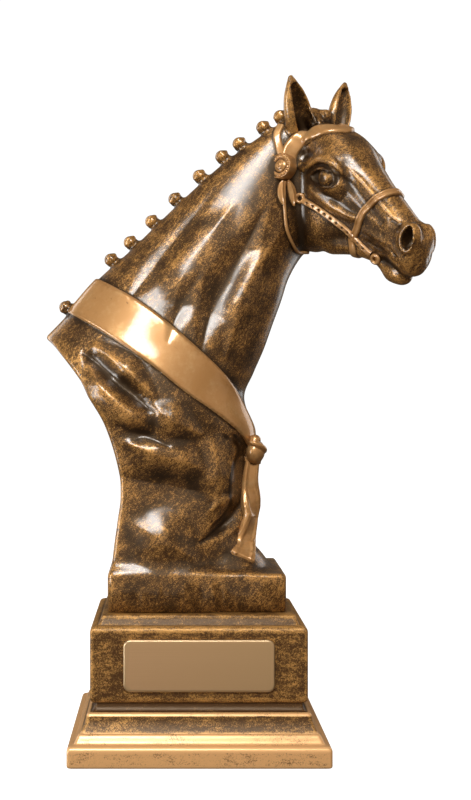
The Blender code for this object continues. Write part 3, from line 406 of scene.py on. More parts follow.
def slab(outline, reach):
    """All that lies within a side-view outline, reach to either side of the middle."""
    outline = np.asarray(outline, float)
    low = np.array([outline[:, 0].min(), -reach, outline[:, 1].min()])
    high = np.array([outline[:, 0].max(), reach, outline[:, 1].max()])
    return Form(low, high, lambda points: flat_distance(outline, points))


BUST = Frame((0.0, 0.0, SEAT_Z), np.eye(3), BUST_HEIGHT)

# Sections of neck and trunk from the block up: crest X, Z, throat X, Z, half width, crest's and throat's Y
SECTIONS = (
    (-0.318, -0.060, 0.115, -0.060, 0.106, 0.0, 0.0),
    (-0.337, 0.098, 0.100, 0.100, 0.103, 0.0, 0.0),
    (-0.356, 0.193, 0.108, 0.193, 0.098, 0.0, 0.0),
    (-0.368, 0.300, 0.107, 0.275, 0.104, 0.0, 0.0),
    (-0.361, 0.410, 0.106, 0.330, 0.110, 0.0, 0.0),
    (-0.320, 0.468, 0.090, 0.388, 0.104, 0.0, 0.0),
    (-0.254, 0.537, 0.107, 0.433, 0.092, 0.0, 0.0),
    (-0.192, 0.608, 0.127, 0.479, 0.083, 0.0, 0.0),
    (-0.126, 0.668, 0.143, 0.524, 0.075, 0.0, 0.0),
    (-0.041, 0.750, 0.160, 0.570, 0.067, -0.004, 0.002),
    (0.044, 0.826, 0.176, 0.616, 0.060, -0.012, 0.012),
    (0.121, 0.881, 0.203, 0.660, 0.052, -0.024, 0.030),
    (0.190, 0.923, 0.243, 0.700, 0.042, -0.030, 0.048),
)
CREST = tuple((s[0], s[1]) for s in SECTIONS[5:])

# The sweep that cuts the trunk off behind, from the withers down to the block
CUT = (
    (-0.287, 0.500),
    (-0.262, 0.477),
    (-0.209, 0.409),
    (-0.169, 0.333),
    (-0.146, 0.257),
    (-0.142, 0.205),
    (-0.148, 0.159),
    (-0.156, 0.094),
    (-0.153, 0.060),
    (-0.153, -0.060),
)
CUT_BEYOND = ((-0.60, -0.06), (-0.60, 0.50), (-0.40, 0.56))

# The sash's upper and lower edge in the side view
SASH_TOP = (
    (-0.230, 0.650), (-0.190, 0.614), (-0.160, 0.596), (-0.107, 0.564), (-0.052, 0.522), (0.003, 0.474),
    (0.052, 0.427), (0.086, 0.379), (0.110, 0.335), (0.135, 0.290),
)
SASH_LOW = (
    (-0.300, 0.582), (-0.249, 0.552), (-0.190, 0.518), (-0.134, 0.482), (-0.079, 0.443), (-0.024, 0.399),
    (0.031, 0.361), (0.074, 0.326), (0.096, 0.295), (0.130, 0.235),
)
SASH_THICKNESS = 0.0009
SASH_ROUND = 0.0008

# The foot of each plait, by its X on the crest
PLAITS = (-0.241, -0.156, -0.119, -0.078, -0.034, 0.012, 0.054, 0.086, 0.130, 0.162)
PLAIT_RADIUS = 0.0023
PLAIT_STAND = 0.0021


# How much wider than its middle each section is towards the throat
THROAT_FULLNESS = 0.16


def trunk():
    """Neck and trunk: elliptic sections from crest to throat, swept up the bust."""
    rows = curve(SECTIONS, 30)
    crest = BUST.place(np.stack([rows[:, 0], 0 * rows[:, 0], rows[:, 1]], 1))[:, [0, 2]]
    throat = BUST.place(np.stack([rows[:, 2], 0 * rows[:, 2], rows[:, 3]], 1))[:, [0, 2]]
    width, crest_y, throat_y = (rows[:, k] * BUST.unit for k in (4, 5, 6))
    span = throat - crest
    order = np.arange(len(rows))

    def distance(points):
        at = points[:, :1, :, :][..., [0, 2]].astype(float)
        side = (
            span[:, 0] * (at[..., 1:] - crest[:, 1]) - span[:, 1] * (at[..., :1] - crest[:, 0])
        )
        above = side > 0
        first = np.clip(above.shape[-1] - np.argmax(above[..., ::-1], -1) - 1, 0, len(rows) - 2)
        first = np.where(above.any(-1), first, 0)
        low = np.take_along_axis(side, first[..., None], -1)[..., 0]
        high = np.take_along_axis(side, first[..., None] + 1, -1)[..., 0]
        s = first + np.clip(low / np.where(low == high, 1, low - high), 0, 1)
        from_crest = at - np.stack([np.interp(s, order, crest[:, k]) for k in (0, 1)], -1)
        across = np.stack([np.interp(s, order, span[:, k]) for k in (0, 1)], -1)
        length = np.sqrt((across**2).sum(-1))
        u = 2 * (from_crest * across).sum(-1) / length**2 - 1
        half = length / 2
        half_width = np.interp(s, order, width) * (1 + THROAT_FULLNESS * np.clip(u, -1, 1))
        turned = from_crest[..., 0] * across[..., 1] - from_crest[..., 1] * across[..., 0]
        off_plane = np.abs(turned / length)
        middle = np.interp(s, order, crest_y + throat_y) / 2
        middle = middle + np.interp(s, order, throat_y - crest_y) / 2 * np.clip(u, -1, 1)
        u, half, half_width, off_plane, middle = (
            x.astype(np.float32) for x in (u, half, half_width, off_plane, middle)
        )
        v = (points[..., 1] - middle) / half_width
        near = np.maximum(np.sqrt(u**2 + v**2), 1e-4)
        steep = np.sqrt((u / half) ** 2 + (v / half_width) ** 2) / near
        inner = (near - 1) / np.maximum(steep, 1e-3)
        beyond = off_plane - half * 0.05
        return np.where(beyond > 0, np.maximum(inner, beyond), inner)

    reach = np.array([0.02, 0.13, 0.02]) * BUST.unit
    corners = np.vstack([crest, throat])
    low = np.array([corners[:, 0].min(), 0, corners[:, 1].min()]) - reach
    high = np.array([corners[:, 0].max(), 0, corners[:, 1].max()]) + reach
    return Form(low, high, distance)


# How far from the middle the flanks' forms begin and are whole, in shares of BUST_HEIGHT
FLANK_FADE = (0.012, 0.060)


def flank(path, radii):
    """A swell along a path in the side view. It marks both flanks alike, and fades towards the middle."""
    line = curve([BUST.place((x, 0.0, z)) for x, z in path], 5)
    form = rod(line, np.asarray(radii) * BUST.unit, True)
    reach = np.array([0, 0.2, 0]) * BUST.unit

    def distance(points):
        flat = points[:, :1].copy()
        flat[..., 1] = 0
        aside = np.abs(points[:1, :, :1, 1]) / BUST.unit
        fade = np.interp(aside, FLANK_FADE, (0.0, 1.0)).astype(np.float32)
        return np.minimum(form.distance(flat), 0) * fade

    return Form(form.low - reach, form.high + reach, distance)


# Muscles and furrows of both flanks: path in the side view, radii and height, as shares of BUST_HEIGHT
FLANKS = (
    (((-0.187, 0.482), (-0.133, 0.441), (-0.082, 0.392)), (0.014, 0.040, 0.014), 0.0125),
    (((-0.207, 0.468), (-0.182, 0.448), (-0.117, 0.388), (-0.078, 0.362)),
     (0.012, 0.028, 0.028, 0.010), -0.0120),
    (((-0.196, 0.441), (-0.173, 0.401), (-0.124, 0.356), (-0.092, 0.330)),
     (0.016, 0.044, 0.044, 0.014), 0.0145),
    (((-0.146, 0.338), (-0.106, 0.323), (-0.055, 0.300)), (0.012, 0.026, 0.010), -0.0070),
    (((-0.090, 0.374), (-0.048, 0.347), (0.002, 0.322)), (0.014, 0.044, 0.014), 0.0130),
    (((-0.135, 0.307), (-0.075, 0.284), (-0.030, 0.271), (0.006, 0.259)),
     (0.016, 0.046, 0.046, 0.018), 0.0130),
    (((-0.120, 0.240), (-0.060, 0.226), (-0.010, 0.218)), (0.030, 0.066, 0.035), -0.0090),
    (((0.028, 0.300), (0.040, 0.242), (0.028, 0.180)), (0.030, 0.064, 0.030), 0.0140),
    (((0.066, 0.316), (0.086, 0.289), (0.085, 0.247), (0.083, 0.208), (0.072, 0.180), (0.039, 0.146),
      (0.004, 0.122)),
     (0.010, 0.024, 0.028, 0.028, 0.026, 0.020, 0.006), -0.0190),
    (((-0.110, 0.152), (-0.066, 0.130), (-0.018, 0.100)), (0.028, 0.064, 0.028), 0.0150),
    (((0.021, 0.181), (0.048, 0.197), (0.070, 0.205)), (0.006, 0.018, 0.006), 0.0060),
    (((0.126, 0.742), (0.086, 0.663), (0.053, 0.604), (0.024, 0.546), (0.004, 0.470)),
     (0.008, 0.036, 0.044, 0.040, 0.010), -0.0100),
    (((0.064, 0.744), (0.017, 0.681), (-0.024, 0.622), (-0.046, 0.552)),
     (0.014, 0.054, 0.060, 0.020), 0.0085),
    (((0.156, 0.698), (0.110, 0.625), (0.080, 0.560), (0.052, 0.462)), (0.008, 0.034, 0.038, 0.010), 0.0065),
    (((0.044, 0.790), (-0.035, 0.690), (-0.088, 0.620), (-0.125, 0.570)),
     (0.008, 0.032, 0.034, 0.008), -0.0045),
    (((0.004, 0.618), (-0.030, 0.560), (-0.054, 0.492)), (0.008, 0.038, 0.010), -0.0060),
)

# The furrow beside the hanging ribbon, with painted shade along it
CHANNEL = FLANKS[8][0][:6]
CHANNEL_RADII = (0.0001, 0.0005, 0.0005, 0.0001)


# The poll, from which the head's places are measured, in shares of BUST_HEIGHT
POLL = (0.229, -0.028, 0.905)


def head_frame():
    turn, pitch, lean = (math.radians(x) for x in (HEAD_TURN, HEAD_PITCH, HEAD_LEAN))
    level_part = math.cos(pitch)
    along = np.array([level_part * math.cos(turn), -level_part * math.sin(turn), -math.sin(pitch)])
    level = np.array([-math.sin(turn), -math.cos(turn), 0.0])
    raised = -np.cross(along, level)
    right = math.cos(lean) * level + math.sin(lean) * raised
    crown = -math.sin(lean) * level + math.cos(lean) * raised
    return Frame(BUST.place(POLL), (along, right, crown), HEAD_LENGTH)


HEAD = head_frame()
RIGHT, LEFT = 1, -1


def head_point(a, l, d, side=RIGHT):
    return HEAD.place((a, l * side, d))


def head_ellipsoid(centre, radii, side=RIGHT):
    return ellipsoid(head_point(*centre, side), np.asarray(radii) * HEAD.unit, HEAD.axes)


def head_rod(points, radii, side=RIGHT, share=False):
    line = [head_point(*p, side) for p in points]
    return rod(curve(line, 5) if len(line) > 2 else line, np.asarray(radii) * HEAD.unit, share)


def skull():
    """The head's main form: rounded sections from poll to lip, squarer across the forehead."""
    top = profile((-0.06, -0.05), (0.0, 0.0), (0.10, 0.040), (0.22, 0.065), (0.34, 0.058), (0.46, 0.022),
                  (0.60, -0.012), (0.75, -0.040), (0.87, -0.068), (0.95, -0.110), (0.99, -0.17),
                  (1.0, -0.22))
    low = profile((-0.06, -0.30), (0.10, -0.42), (0.30, -0.52), (0.45, -0.495), (0.60, -0.410),
                  (0.72, -0.365), (0.80, -0.325), (0.92, -0.305), (0.99, -0.29), (1.0, -0.27))
    width = profile((-0.06, 0.06), (0.0, 0.11), (0.12, 0.150), (0.28, 0.168), (0.40, 0.150), (0.52, 0.118),
                    (0.66, 0.102), (0.80, 0.093), (0.92, 0.096), (0.99, 0.07), (1.0, 0.03))
    squareness = profile((0.0, 2.3), (0.25, 3.2), (0.45, 3.0), (0.70, 2.6), (1.0, 2.4))

    def distance(points):
        local = HEAD.into(points) / HEAD.unit
        a = local[..., 0]
        power = squareness(a)
        middle, half = (top(a) + low(a)) / 2, (top(a) - low(a)) / 2
        wide = width(a)
        u = np.maximum(np.abs(local[..., 2] - middle) / half, 1e-4)
        v = np.maximum(np.abs(local[..., 1]) / wide, 1e-4)
        near = np.maximum((u**power + v**power) ** (1 / power), 1e-4)
        slope = np.sqrt((u ** (power - 1) / half) ** 2 + (v ** (power - 1) / wide) ** 2)
        steep = slope / near ** (power - 1)
        beyond = np.maximum(-0.06 - a, a - 1.0)
        return (np.maximum((near - 1) / np.maximum(steep, 1e-3), beyond) * HEAD.unit).astype(np.float32)

    reach = 0.75 * HEAD.unit
    centre = HEAD.place((0.5, 0.0, -0.2))
    return Form(centre - reach, centre + reach, distance)


# Ridges and hollows of both cheeks: path in the head's frame, radii and height, as shares of HEAD_LENGTH
CHEEKS = (
    (((0.105, 0.135, -0.125), (0.135, 0.140, -0.105), (0.175, 0.140, -0.080)), (0.030, 0.052, 0.030), -0.018),
    (((0.085, 0.150, -0.165), (0.130, 0.155, -0.180), (0.172, 0.160, -0.172)), (0.016, 0.026, 0.020), 0.014),
    (((0.160, 0.165, -0.180), (0.205, 0.170, -0.120), (0.250, 0.172, -0.062), (0.310, 0.172, -0.028),
      (0.370, 0.165, -0.020), (0.420, 0.155, -0.040), (0.455, 0.145, -0.085)),
     (0.010, 0.022, 0.026, 0.028, 0.026, 0.020, 0.008), 0.021),
    (((0.185, 0.165, -0.185), (0.228, 0.170, -0.128), (0.272, 0.172, -0.080), (0.330, 0.172, -0.058),
      (0.385, 0.165, -0.068)), (0.008, 0.018, 0.020, 0.020, 0.008), -0.017),
    (((0.26, 0.185, -0.225), (0.41, 0.160, -0.232), (0.52, 0.135, -0.226), (0.60, 0.112, -0.205)),
     (0.030, 0.048, 0.042, 0.030), 0.018),
    (((0.26, 0.185, -0.280), (0.41, 0.165, -0.288), (0.52, 0.138, -0.282), (0.60, 0.115, -0.266)),
     (0.016, 0.030, 0.030, 0.018), -0.017),
    (((0.43, 0.130, -0.070), (0.52, 0.112, -0.092), (0.62, 0.098, -0.115), (0.74, 0.088, -0.130)),
     (0.030, 0.045, 0.045, 0.025), -0.014),
    (((0.40, 0.120, -0.010), (0.50, 0.100, -0.030), (0.60, 0.088, -0.052), (0.70, 0.080, -0.070),
      (0.82, 0.070, -0.085)), (0.012, 0.024, 0.024, 0.024, 0.012), 0.011),
    (((0.66, 0.095, -0.230), (0.76, 0.090, -0.215), (0.84, 0.088, -0.200)), (0.020, 0.034, 0.018), 0.010),
    (((0.70, 0.092, -0.280), (0.79, 0.090, -0.262), (0.86, 0.088, -0.245)), (0.012, 0.026, 0.012), -0.010),
    (((0.84, 0.085, -0.215), (0.90, 0.085, -0.225), (0.95, 0.075, -0.215)), (0.010, 0.018, 0.010), -0.010),
    (((0.86, 0.085, -0.262), (0.93, 0.080, -0.268), (0.975, 0.060, -0.255)), (0.010, 0.020, 0.010), 0.009),
    (((0.985, 0.050, -0.120), (0.995, 0.052, -0.170), (0.985, 0.052, -0.225)), (0.010, 0.018, 0.010), -0.012),
    (((0.78, 0.070, -0.100), (0.84, 0.070, -0.095)), (0.024, 0.030), -0.010),
    (((0.420, 0.172, -0.110), (0.455, 0.158, -0.135), (0.480, 0.150, -0.172)), (0.008, 0.014, 0.006), -0.009),
    (((0.385, 0.175, -0.180), (0.430, 0.162, -0.195), (0.480, 0.150, -0.198)), (0.008, 0.014, 0.006), -0.008),
)

# The fold between brow and eyelid
BROW_FOLD = CHEEKS[3][0]

EYE = (0.335, 0.128, -0.122)
EYE_RADIUS = 0.062
PUPIL_RADIUS = 0.016
EYE_LENGTH = 0.104
EYE_HEIGHT = 0.043
EYE_SLANT = 26.0
EYE_FLOOR = 0.030
LID_RIM = 0.009

NOSTRIL = (0.925, 0.096, -0.100)
FAR_NOSTRIL = (0.915, 0.090, -0.130)
NOSTRIL_LENGTH = 0.060
NOSTRIL_WIDTH = 0.029
NOSTRIL_TILT = -22.0
NOSTRIL_DEPTH = 0.070
NOSTRIL_RIM = 0.012

MOUTH = ((0.815, 0.092, -0.312), (0.860, 0.092, -0.316), (0.920, 0.078, -0.316), (0.975, 0.050, -0.316),
         (1.010, 0.0, -0.318))
MOUTH_RADII = (0.007, 0.012, 0.014, 0.014)
MOUTH_SHADED = 0.6

# Masses added to the skull: centre and radii as shares of HEAD_LENGTH, and blend. The jaw is a rod
SKULL_BLEND = 0.0040
JOWL = ((0.28, 0.080, -0.385), (0.205, 0.078, 0.215), 0.0030)
JAW = ((0.47, 0.055, -0.46), (0.60, 0.050, -0.390), (0.74, 0.035, -0.345), (0.86, 0.0, -0.365))
JAW_RADII = (0.055, 0.042, 0.036, 0.040)
JAW_BLEND = 0.0025
ORBIT = ((0.33, 0.120, -0.12), (0.120, 0.055, 0.090), 0.0025)
BROW = ((0.31, 0.125, -0.045), (0.085, 0.045, 0.055), 0.0025)
CHIN = ((0.895, 0.0, -0.346), (0.080, 0.062, 0.058), 0.0022)
LIP = ((0.955, 0.0, -0.262), (0.060, 0.066, 0.052), 0.0012)
MUZZLE = ((0.935, 0.0, -0.195), (0.070, 0.066, 0.090), 0.0030)


def add_mass(clay, mass, side=RIGHT):
    centre, radii, blend = mass
    clay.add(head_ellipsoid(centre, radii, side), blend)


def carve_head(clay):
    """Skull, jowls, lips, orbits and nostrils."""
    clay.add(skull(), SKULL_BLEND)
    for side in (RIGHT, LEFT):
        add_mass(clay, JOWL, side)
        clay.add(head_rod(JAW, JAW_RADII, side), JAW_BLEND)
        add_mass(clay, ORBIT, side)
        add_mass(clay, BROW, side)
    for mass in (CHIN, LIP, MUZZLE):
        add_mass(clay, mass)
    for side in (RIGHT, LEFT):
        for path, radii, height in CHEEKS:
            clay.swell(head_rod(path, radii, side, True), height * HEAD.unit)
        nostril(clay, side)
        eye(clay, side)
        clay.cut(head_rod(MOUTH, MOUTH_RADII, side), 0.0005)
        # painted shade in the mouth's crease
        clay.mark(head_rod(MOUTH, np.array(MOUTH_RADII) * MOUTH_SHADED, side))


def nostril(clay, side):
    """A raised, flared rim round a deep oval."""
    tilt = math.radians(NOSTRIL_TILT)
    a, l, d = NOSTRIL if side == RIGHT else FAR_NOSTRIL
    clay.add(head_ellipsoid((a - 0.014, l - 0.040, d - 0.008), (0.058, 0.042, 0.072), side), 0.0024)
    loop = []
    for angle in np.linspace(0, 2 * math.pi, 17):
        u = (NOSTRIL_WIDTH + 0.010) * math.cos(angle)
        v = (NOSTRIL_LENGTH + 0.010) * math.sin(angle)
        ahead = a + u * math.cos(tilt) + v * math.sin(tilt)
        above = d - u * math.sin(tilt) + v * math.cos(tilt)
        loop.append((ahead, l, above))
    rim = clay.settle([head_point(*p, side) for p in loop])
    clay.add(rod(rim, (NOSTRIL_RIM * HEAD.unit,) * 2), 0.0008)
    across = math.cos(tilt) * HEAD.axes[0] - math.sin(tilt) * HEAD.axes[2]
    upward = math.sin(tilt) * HEAD.axes[0] + math.cos(tilt) * HEAD.axes[2]
    radii = np.array((NOSTRIL_WIDTH, NOSTRIL_DEPTH, NOSTRIL_LENGTH)) * HEAD.unit
    bore = ellipsoid(head_point(a, l + 0.010, d, side), radii, (across, HEAD.axes[1], upward))
    clay.cut(bore, 0.0006)
    # painted shade inside the nostril
    clay.mark(bore)


def eye_arc(way, grow=0.0):
    """Points along the upper (way 1) or lower (way -1) edge of the almond between the lids."""
    slant = math.radians(EYE_SLANT)
    radius = (EYE_LENGTH**2 + EYE_HEIGHT**2) / (2 * EYE_HEIGHT) + grow
    centre = EYE_HEIGHT - radius + grow
    found = []
    for u in np.linspace(-EYE_LENGTH, EYE_LENGTH, 9):
        v = way * (centre + math.sqrt(radius * radius - u * u))
        found.append((EYE[0] + u * math.cos(slant) - v * math.sin(slant), 0.2,
                      EYE[2] + u * math.sin(slant) + v * math.cos(slant)))
    return found


def almond(side):
    """The opening between the lids, as deep as the head."""
    slant = math.radians(EYE_SLANT)
    radius = (EYE_LENGTH**2 + EYE_HEIGHT**2) / (2 * EYE_HEIGHT)
    offset = (radius - EYE_HEIGHT) * np.array((-math.sin(slant), math.cos(slant)))
    reach = np.full(3, EYE_LENGTH * 1.3 * HEAD.unit)
    centre = head_point(EYE[0], EYE[1] + 0.06, EYE[2], side)

    def distance(points):
        local = HEAD.into(points) / HEAD.unit
        ahead, above = local[..., 0] - EYE[0], local[..., 2] - EYE[2]
        over = [
            np.sqrt((ahead - way * offset[0]) ** 2 + (above - way * offset[1]) ** 2) - radius
            for way in (-1, 1)
        ]
        deep = EYE[1] + EYE_FLOOR - local[..., 1] * side
        return (np.maximum(np.maximum(over[0], over[1]), deep) * HEAD.unit).astype(np.float32)

    return Form(centre - reach, centre + reach, distance)


def eye(clay, side):
    """A ball set in an almond opening with a rim along each lid."""
    clay.add(head_ellipsoid((EYE[0], EYE[1] - 0.012, EYE[2]), (0.098, 0.078, 0.080), side), 0.0016)
    for way in (1, -1):
        lid = clay.settle([head_point(*p, side) for p in eye_arc(way, 0.006)])
        clay.add(rod(curve(lid, 3), (0.004 * HEAD.unit, LID_RIM * HEAD.unit, 0.004 * HEAD.unit)), 0.0005)
    clay.cut(almond(side), 0.0007)
    # painted shade along the lids' edges round the eyeball, and in the fold under the brow
    for way in (1, -1):
        clay.mark(rod(clay.settle([head_point(*p, side) for p in eye_arc(way)]), (0.0005, 0.0005)))
    fold = clay.settle([head_point(*p, side) for p in BROW_FOLD])
    clay.mark(rod(curve(fold, 4), (0.0001, 0.0004, 0.0001)))
    clay.add(head_ellipsoid(EYE, (EYE_RADIUS,) * 3, side), 0.0002)
    clay.mark(head_ellipsoid((EYE[0], EYE[1] + EYE_RADIUS, EYE[2]), (PUPIL_RADIUS,) * 3, side))


# Ears: base, tip, the way each faces and its size beside the other, in the head's frame
EAR_DEPTH = 0.62
EAR_BORE = 0.70
EAR_BORE_DEPTH = 1.15
EAR_HOLLOW = 0.42
EAR_OPENS = (0.72, -0.69, 0.0)
EAR_SHADED = 0.92
NEAR_EAR = ((0.006, 0.088, -0.076), (-0.145, 0.165, 0.186), (0.52, -0.85, 0.0), 1.06)
FAR_EAR = ((0.035, 0.120, -0.045), (-0.115, 0.210, 0.150), (0.55, -0.83, 0.0), 0.90)


def ear(clay, side):
    """A leaf-shaped ear, hollow in front, over a rounded root."""
    base, tip, front, share = NEAR_EAR if side == RIGHT else FAR_EAR
    base, tip = head_point(*base, side), head_point(*tip, side)
    out = unit(tip - base)
    front = unit(np.array(front) - out * (np.array(front) @ out))
    steps = np.linspace(0, 1, 24)
    half = profile((0.0, 0.066), (0.15, 0.078), (0.40, 0.082), (0.65, 0.066), (0.85, 0.040), (1.0, 0.018))
    half = half(steps) * HEAD.unit * share
    line = base + np.outer(steps, tip - base)
    clay.add(shell(line, half, front, EAR_DEPTH), 0.0012)
    opens = unit(np.array(EAR_OPENS) - out * (np.array(EAR_OPENS) @ out))
    hollow = half[3:-4] * EAR_BORE
    bore = line[3:-4] + opens * half[3:-4, None] * EAR_HOLLOW
    clay.cut(shell(bore, hollow, opens, EAR_BORE_DEPTH), 0.0007)
    # painted shade in the ear's hollow
    clay.mark(shell(bore, hollow * EAR_SHADED, opens, EAR_BORE_DEPTH))


def shell(line, half, front, depth):
    """A tapering rod, its thickness along the direction front being a share, depth, of its width."""
    form = rod(line, half)
    middle = line.mean(0)
    front = np.asarray(front, np.float32)

    def stretch(places):
        local = places - middle.astype(np.float32)
        return local + (local @ front)[..., None] * front * (1 / depth - 1)

    wide = rod(stretch(line.astype(np.float32)), half)
    return Form(form.low, form.high, lambda points: wide.distance(stretch(points)) * (0.5 + 0.5 * depth))


PLAIT_TURNS = 3


def plaits(clay):
    """Button plaits standing along the crest, each a short stalk and a knob wound from a braid."""
    crest = curve(CREST, 40)
    for x in PLAITS:
        z, ahead_z = np.interp([x, x + 0.01], crest[:, 0], crest[:, 1])
        y = np.interp(z, [0.74, 0.90], [0.0, -0.026])
        foot = BUST.place((x, y, z))
        ahead = unit((0.01, 0.0, ahead_z - z))
        up = np.array([-ahead[2], 0, ahead[0]])
        knob = foot + up * PLAIT_STAND
        clay.add(rod([foot - up * 0.002 + ahead * 0.001, knob - up * 0.0008], (0.0024, 0.0018)), 0.0012)
        clay.add(ellipsoid(knob, np.array((1, 1, 0.95)) * PLAIT_RADIUS), 0.0004)
        for k in range(3 * PLAIT_TURNS):
            angle = 2 * math.pi * k / 3 + 0.4 * k
            level = -0.6 + 1.5 * k / (3 * PLAIT_TURNS)
            out = ahead * math.cos(angle) + np.array([0, 1, 0]) * math.sin(angle)
            wide = math.sqrt(max(1 - level * level, 0.05))
            spot = knob + (up * level + out * wide) * PLAIT_RADIUS * 0.86
            clay.add(ellipsoid(spot, np.full(3, PLAIT_RADIUS * 0.30)), 0.0006)


def sash(clay):
    """A band laid round the base of the neck: the body's own surface, raised between two lines."""
    top, low = curve(SASH_TOP, 6), curve(SASH_LOW, 6)
    outline = np.vstack([top, low[::-1]]) * BUST.unit + [BUST.origin[0], BUST.origin[2]]
    strip = slab(outline, 0.16 * BUST.unit)
    strip = Form(strip.low - SHADE_REACH, strip.high + SHADE_REACH, strip.distance)
    part, points = clay.window(strip.low, strip.high)
    raised = -smooth_min(SASH_THICKNESS - clay.field[part], -strip.distance(points), SASH_ROUND)
    clay.field[part] = np.minimum(clay.field[part], raised)
    clay.gilding[part] = np.minimum(clay.gilding[part], raised)
    # painted shade on the body just beside the sash's edges
    beside = strip.distance(points)
    clay.shade[part] = np.minimum(clay.shade[part], np.where(beside > 0, beside, OUTSIDE))


# Bridle: paths on the head's right side as shares of HEAD_LENGTH, along, to the side and up
BROWBAND = (
    (0.085, 0.215, -0.175), (0.060, 0.196, -0.130), (0.052, 0.170, -0.085), (0.060, 0.142, -0.040),
    (0.085, 0.116, 0.005), (0.125, 0.082, 0.045), (0.160, 0.038, 0.068), (0.172, 0.0, 0.072),
)
NOSEBAND = (
    (0.600, 0.100, -0.327), (0.615, 0.103, -0.276), (0.613, 0.115, -0.214), (0.610, 0.108, -0.168),
    (0.615, 0.092, -0.124), (0.631, 0.086, -0.078), (0.644, 0.070, -0.048), (0.649, 0.042, -0.029),
    (0.652, 0.0, -0.022),
)
CHEEKPIECE = (
    (0.251, 0.174, -0.310), (0.353, 0.167, -0.295), (0.450, 0.145, -0.295), (0.537, 0.120, -0.302),
    (0.596, 0.101, -0.308), (0.642, 0.085, -0.316), (0.694, 0.082, -0.325), (0.741, 0.076, -0.330),
)
CHIN_STRAP = ((0.597, 0.100, -0.327), (0.614, 0.094, -0.354), (0.632, 0.090, -0.380), (0.639, 0.070, -0.410),
              (0.645, 0.0, -0.425))
THROATLATCH = (
    (0.150, 0.250, -0.250), (0.173, 0.264, -0.288), (0.240, 0.274, -0.369), (0.304, 0.273, -0.454),
    (0.345, 0.232, -0.529), (0.352, 0.183, -0.577), (0.350, 0.090, -0.600),
)
HEADPIECE = ((0.071, 0.236, -0.169), (0.013, 0.239, -0.124), (-0.042, 0.228, -0.085), (-0.075, 0.190, -0.050))
PETALS = (
    ((0.140, 0.262, -0.250), (0.176, 0.277, -0.297), (0.221, 0.282, -0.349)),
    ((0.150, 0.235, -0.245), (0.190, 0.219, -0.294), (0.235, 0.221, -0.353)),
)
ROSETTE = (0.082, 0.234, -0.212)
ROSETTE_RADIUS = 0.0044
BUCKLE = (0.235, 0.182, -0.309)
BIT_RING = (0.776, 0.070, -0.339)

# Width and relief of each strap
BROWBAND_SIZE = (0.0058, 0.0010)
NOSEBAND_SIZE = (0.0027, 0.0009)
CHIN_STRAP_SIZE = (0.0026, 0.0007)
CHEEKPIECE_SIZE = (0.0021, 0.0009)
THROATLATCH_SIZE = (0.0012, 0.0006)
HEADPIECE_SIZE = (0.0027, 0.0008)
PETAL_WIDTH = 0.0030
PETAL_RELIEF = 0.0009
PETAL_LIFT = 0.0005

# How finely straps are laid, how deep they reach below the surface, and how dark the painted shadow along
# their edges is
STRAP_SPACING = 0.00022
STRAP_SINK = 0.0011
STRAP_POINTS = 15
STRAP_SHADOW = -0.12

# Holes punched in the cheekpieces, and the rings of buckle and bit
HOLE_PITCH = 0.0026
HOLE_RADIUS = 0.00036
HOLE_DEPTH = 0.0006
RING_RADIUS = 0.0013
RING_THICK = 0.0006


def smoothed(values, rounds=6):
    """Each point drawn towards the middle of its neighbours, the ends kept."""
    values = np.array(values, float)
    for _ in range(rounds):
        values[1:-1] = 0.25 * values[:-2] + 0.5 * values[1:-1] + 0.25 * values[2:]
    return values


def laid(clay, path, side=RIGHT):
    """Even points of a path laid on the clay, with the outward direction at each."""
    line = clay.settle(curve([head_point(*p, side) for p in path], 8))
    travelled = np.append(0, np.cumsum(np.linalg.norm(np.diff(line, axis=0), axis=1)))
    even = np.linspace(0, travelled[-1], max(8, int(travelled[-1] / STRAP_SPACING)))
    line = smoothed(np.stack([np.interp(even, travelled, line[:, k]) for k in range(3)], 1), 12)
    out = smoothed(clay.outward(line), 30)
    return line, out / np.linalg.norm(out, axis=1)[:, None]


class Shape:
    """A mesh put together from rows of points, with its painted shade at each: 0 none, negative dark."""

    def __init__(self):
        self.points = []
        self.faces = []
        self.fine = []

    def add(self, rows, fine, closed=False):
        count, around = rows.shape[:2]
        start = len(self.points)
        self.points += rows.reshape(-1, 3).tolist()
        self.fine += np.asarray(fine).reshape(-1).tolist()
        for i in range(count if closed else count - 1):
            for j in range(around):
                here, there = start + i * around, start + (i + 1) % count * around
                k = (j + 1) % around
                self.faces.append((here + j, here + k, there + k, there + j))
        if not closed:
            self.faces.append(tuple(range(start, start + around)))
            self.faces.append(tuple(range(len(self.points) - around, len(self.points))))

    def finish(self, name, material):
        mesh = bpy.data.meshes.new(name)
        mesh.from_pydata(self.points, [], self.faces)
        shape = bmesh.new()
        shape.from_mesh(mesh)
        bmesh.ops.recalc_face_normals(shape, faces=shape.faces[:])
        shape.to_mesh(mesh)
        shape.free()
        mesh.shade_smooth()
        mesh.set_sharp_from_angle(angle=math.radians(60))
        paint(mesh, "gilt", np.ones(len(self.points)))
        paint(mesh, "fine", self.fine)
        paint(mesh, "broad", np.zeros(len(self.points)))
        mesh.materials.append(material)
        thing = bpy.data.objects.new(name, mesh)
        bpy.context.scene.collection.objects.link(thing)
        return thing


def flat_strap(x):
    return (1 - np.abs(x) ** 6) ** 0.5


def rolled_strap(x):
    """Two rolled edges with a groove between them."""
    return (1 - np.abs(x) ** 6) ** 0.5 * (1 - 0.42 * np.exp(-((x - 0.1) / 0.24) ** 2))


def leaf(x):
    """A leaf with a raised rib down its middle."""
    return 0.45 * (1 - np.abs(x) ** 4) ** 0.5 + 0.55 * np.exp(-(x / 0.22) ** 2)


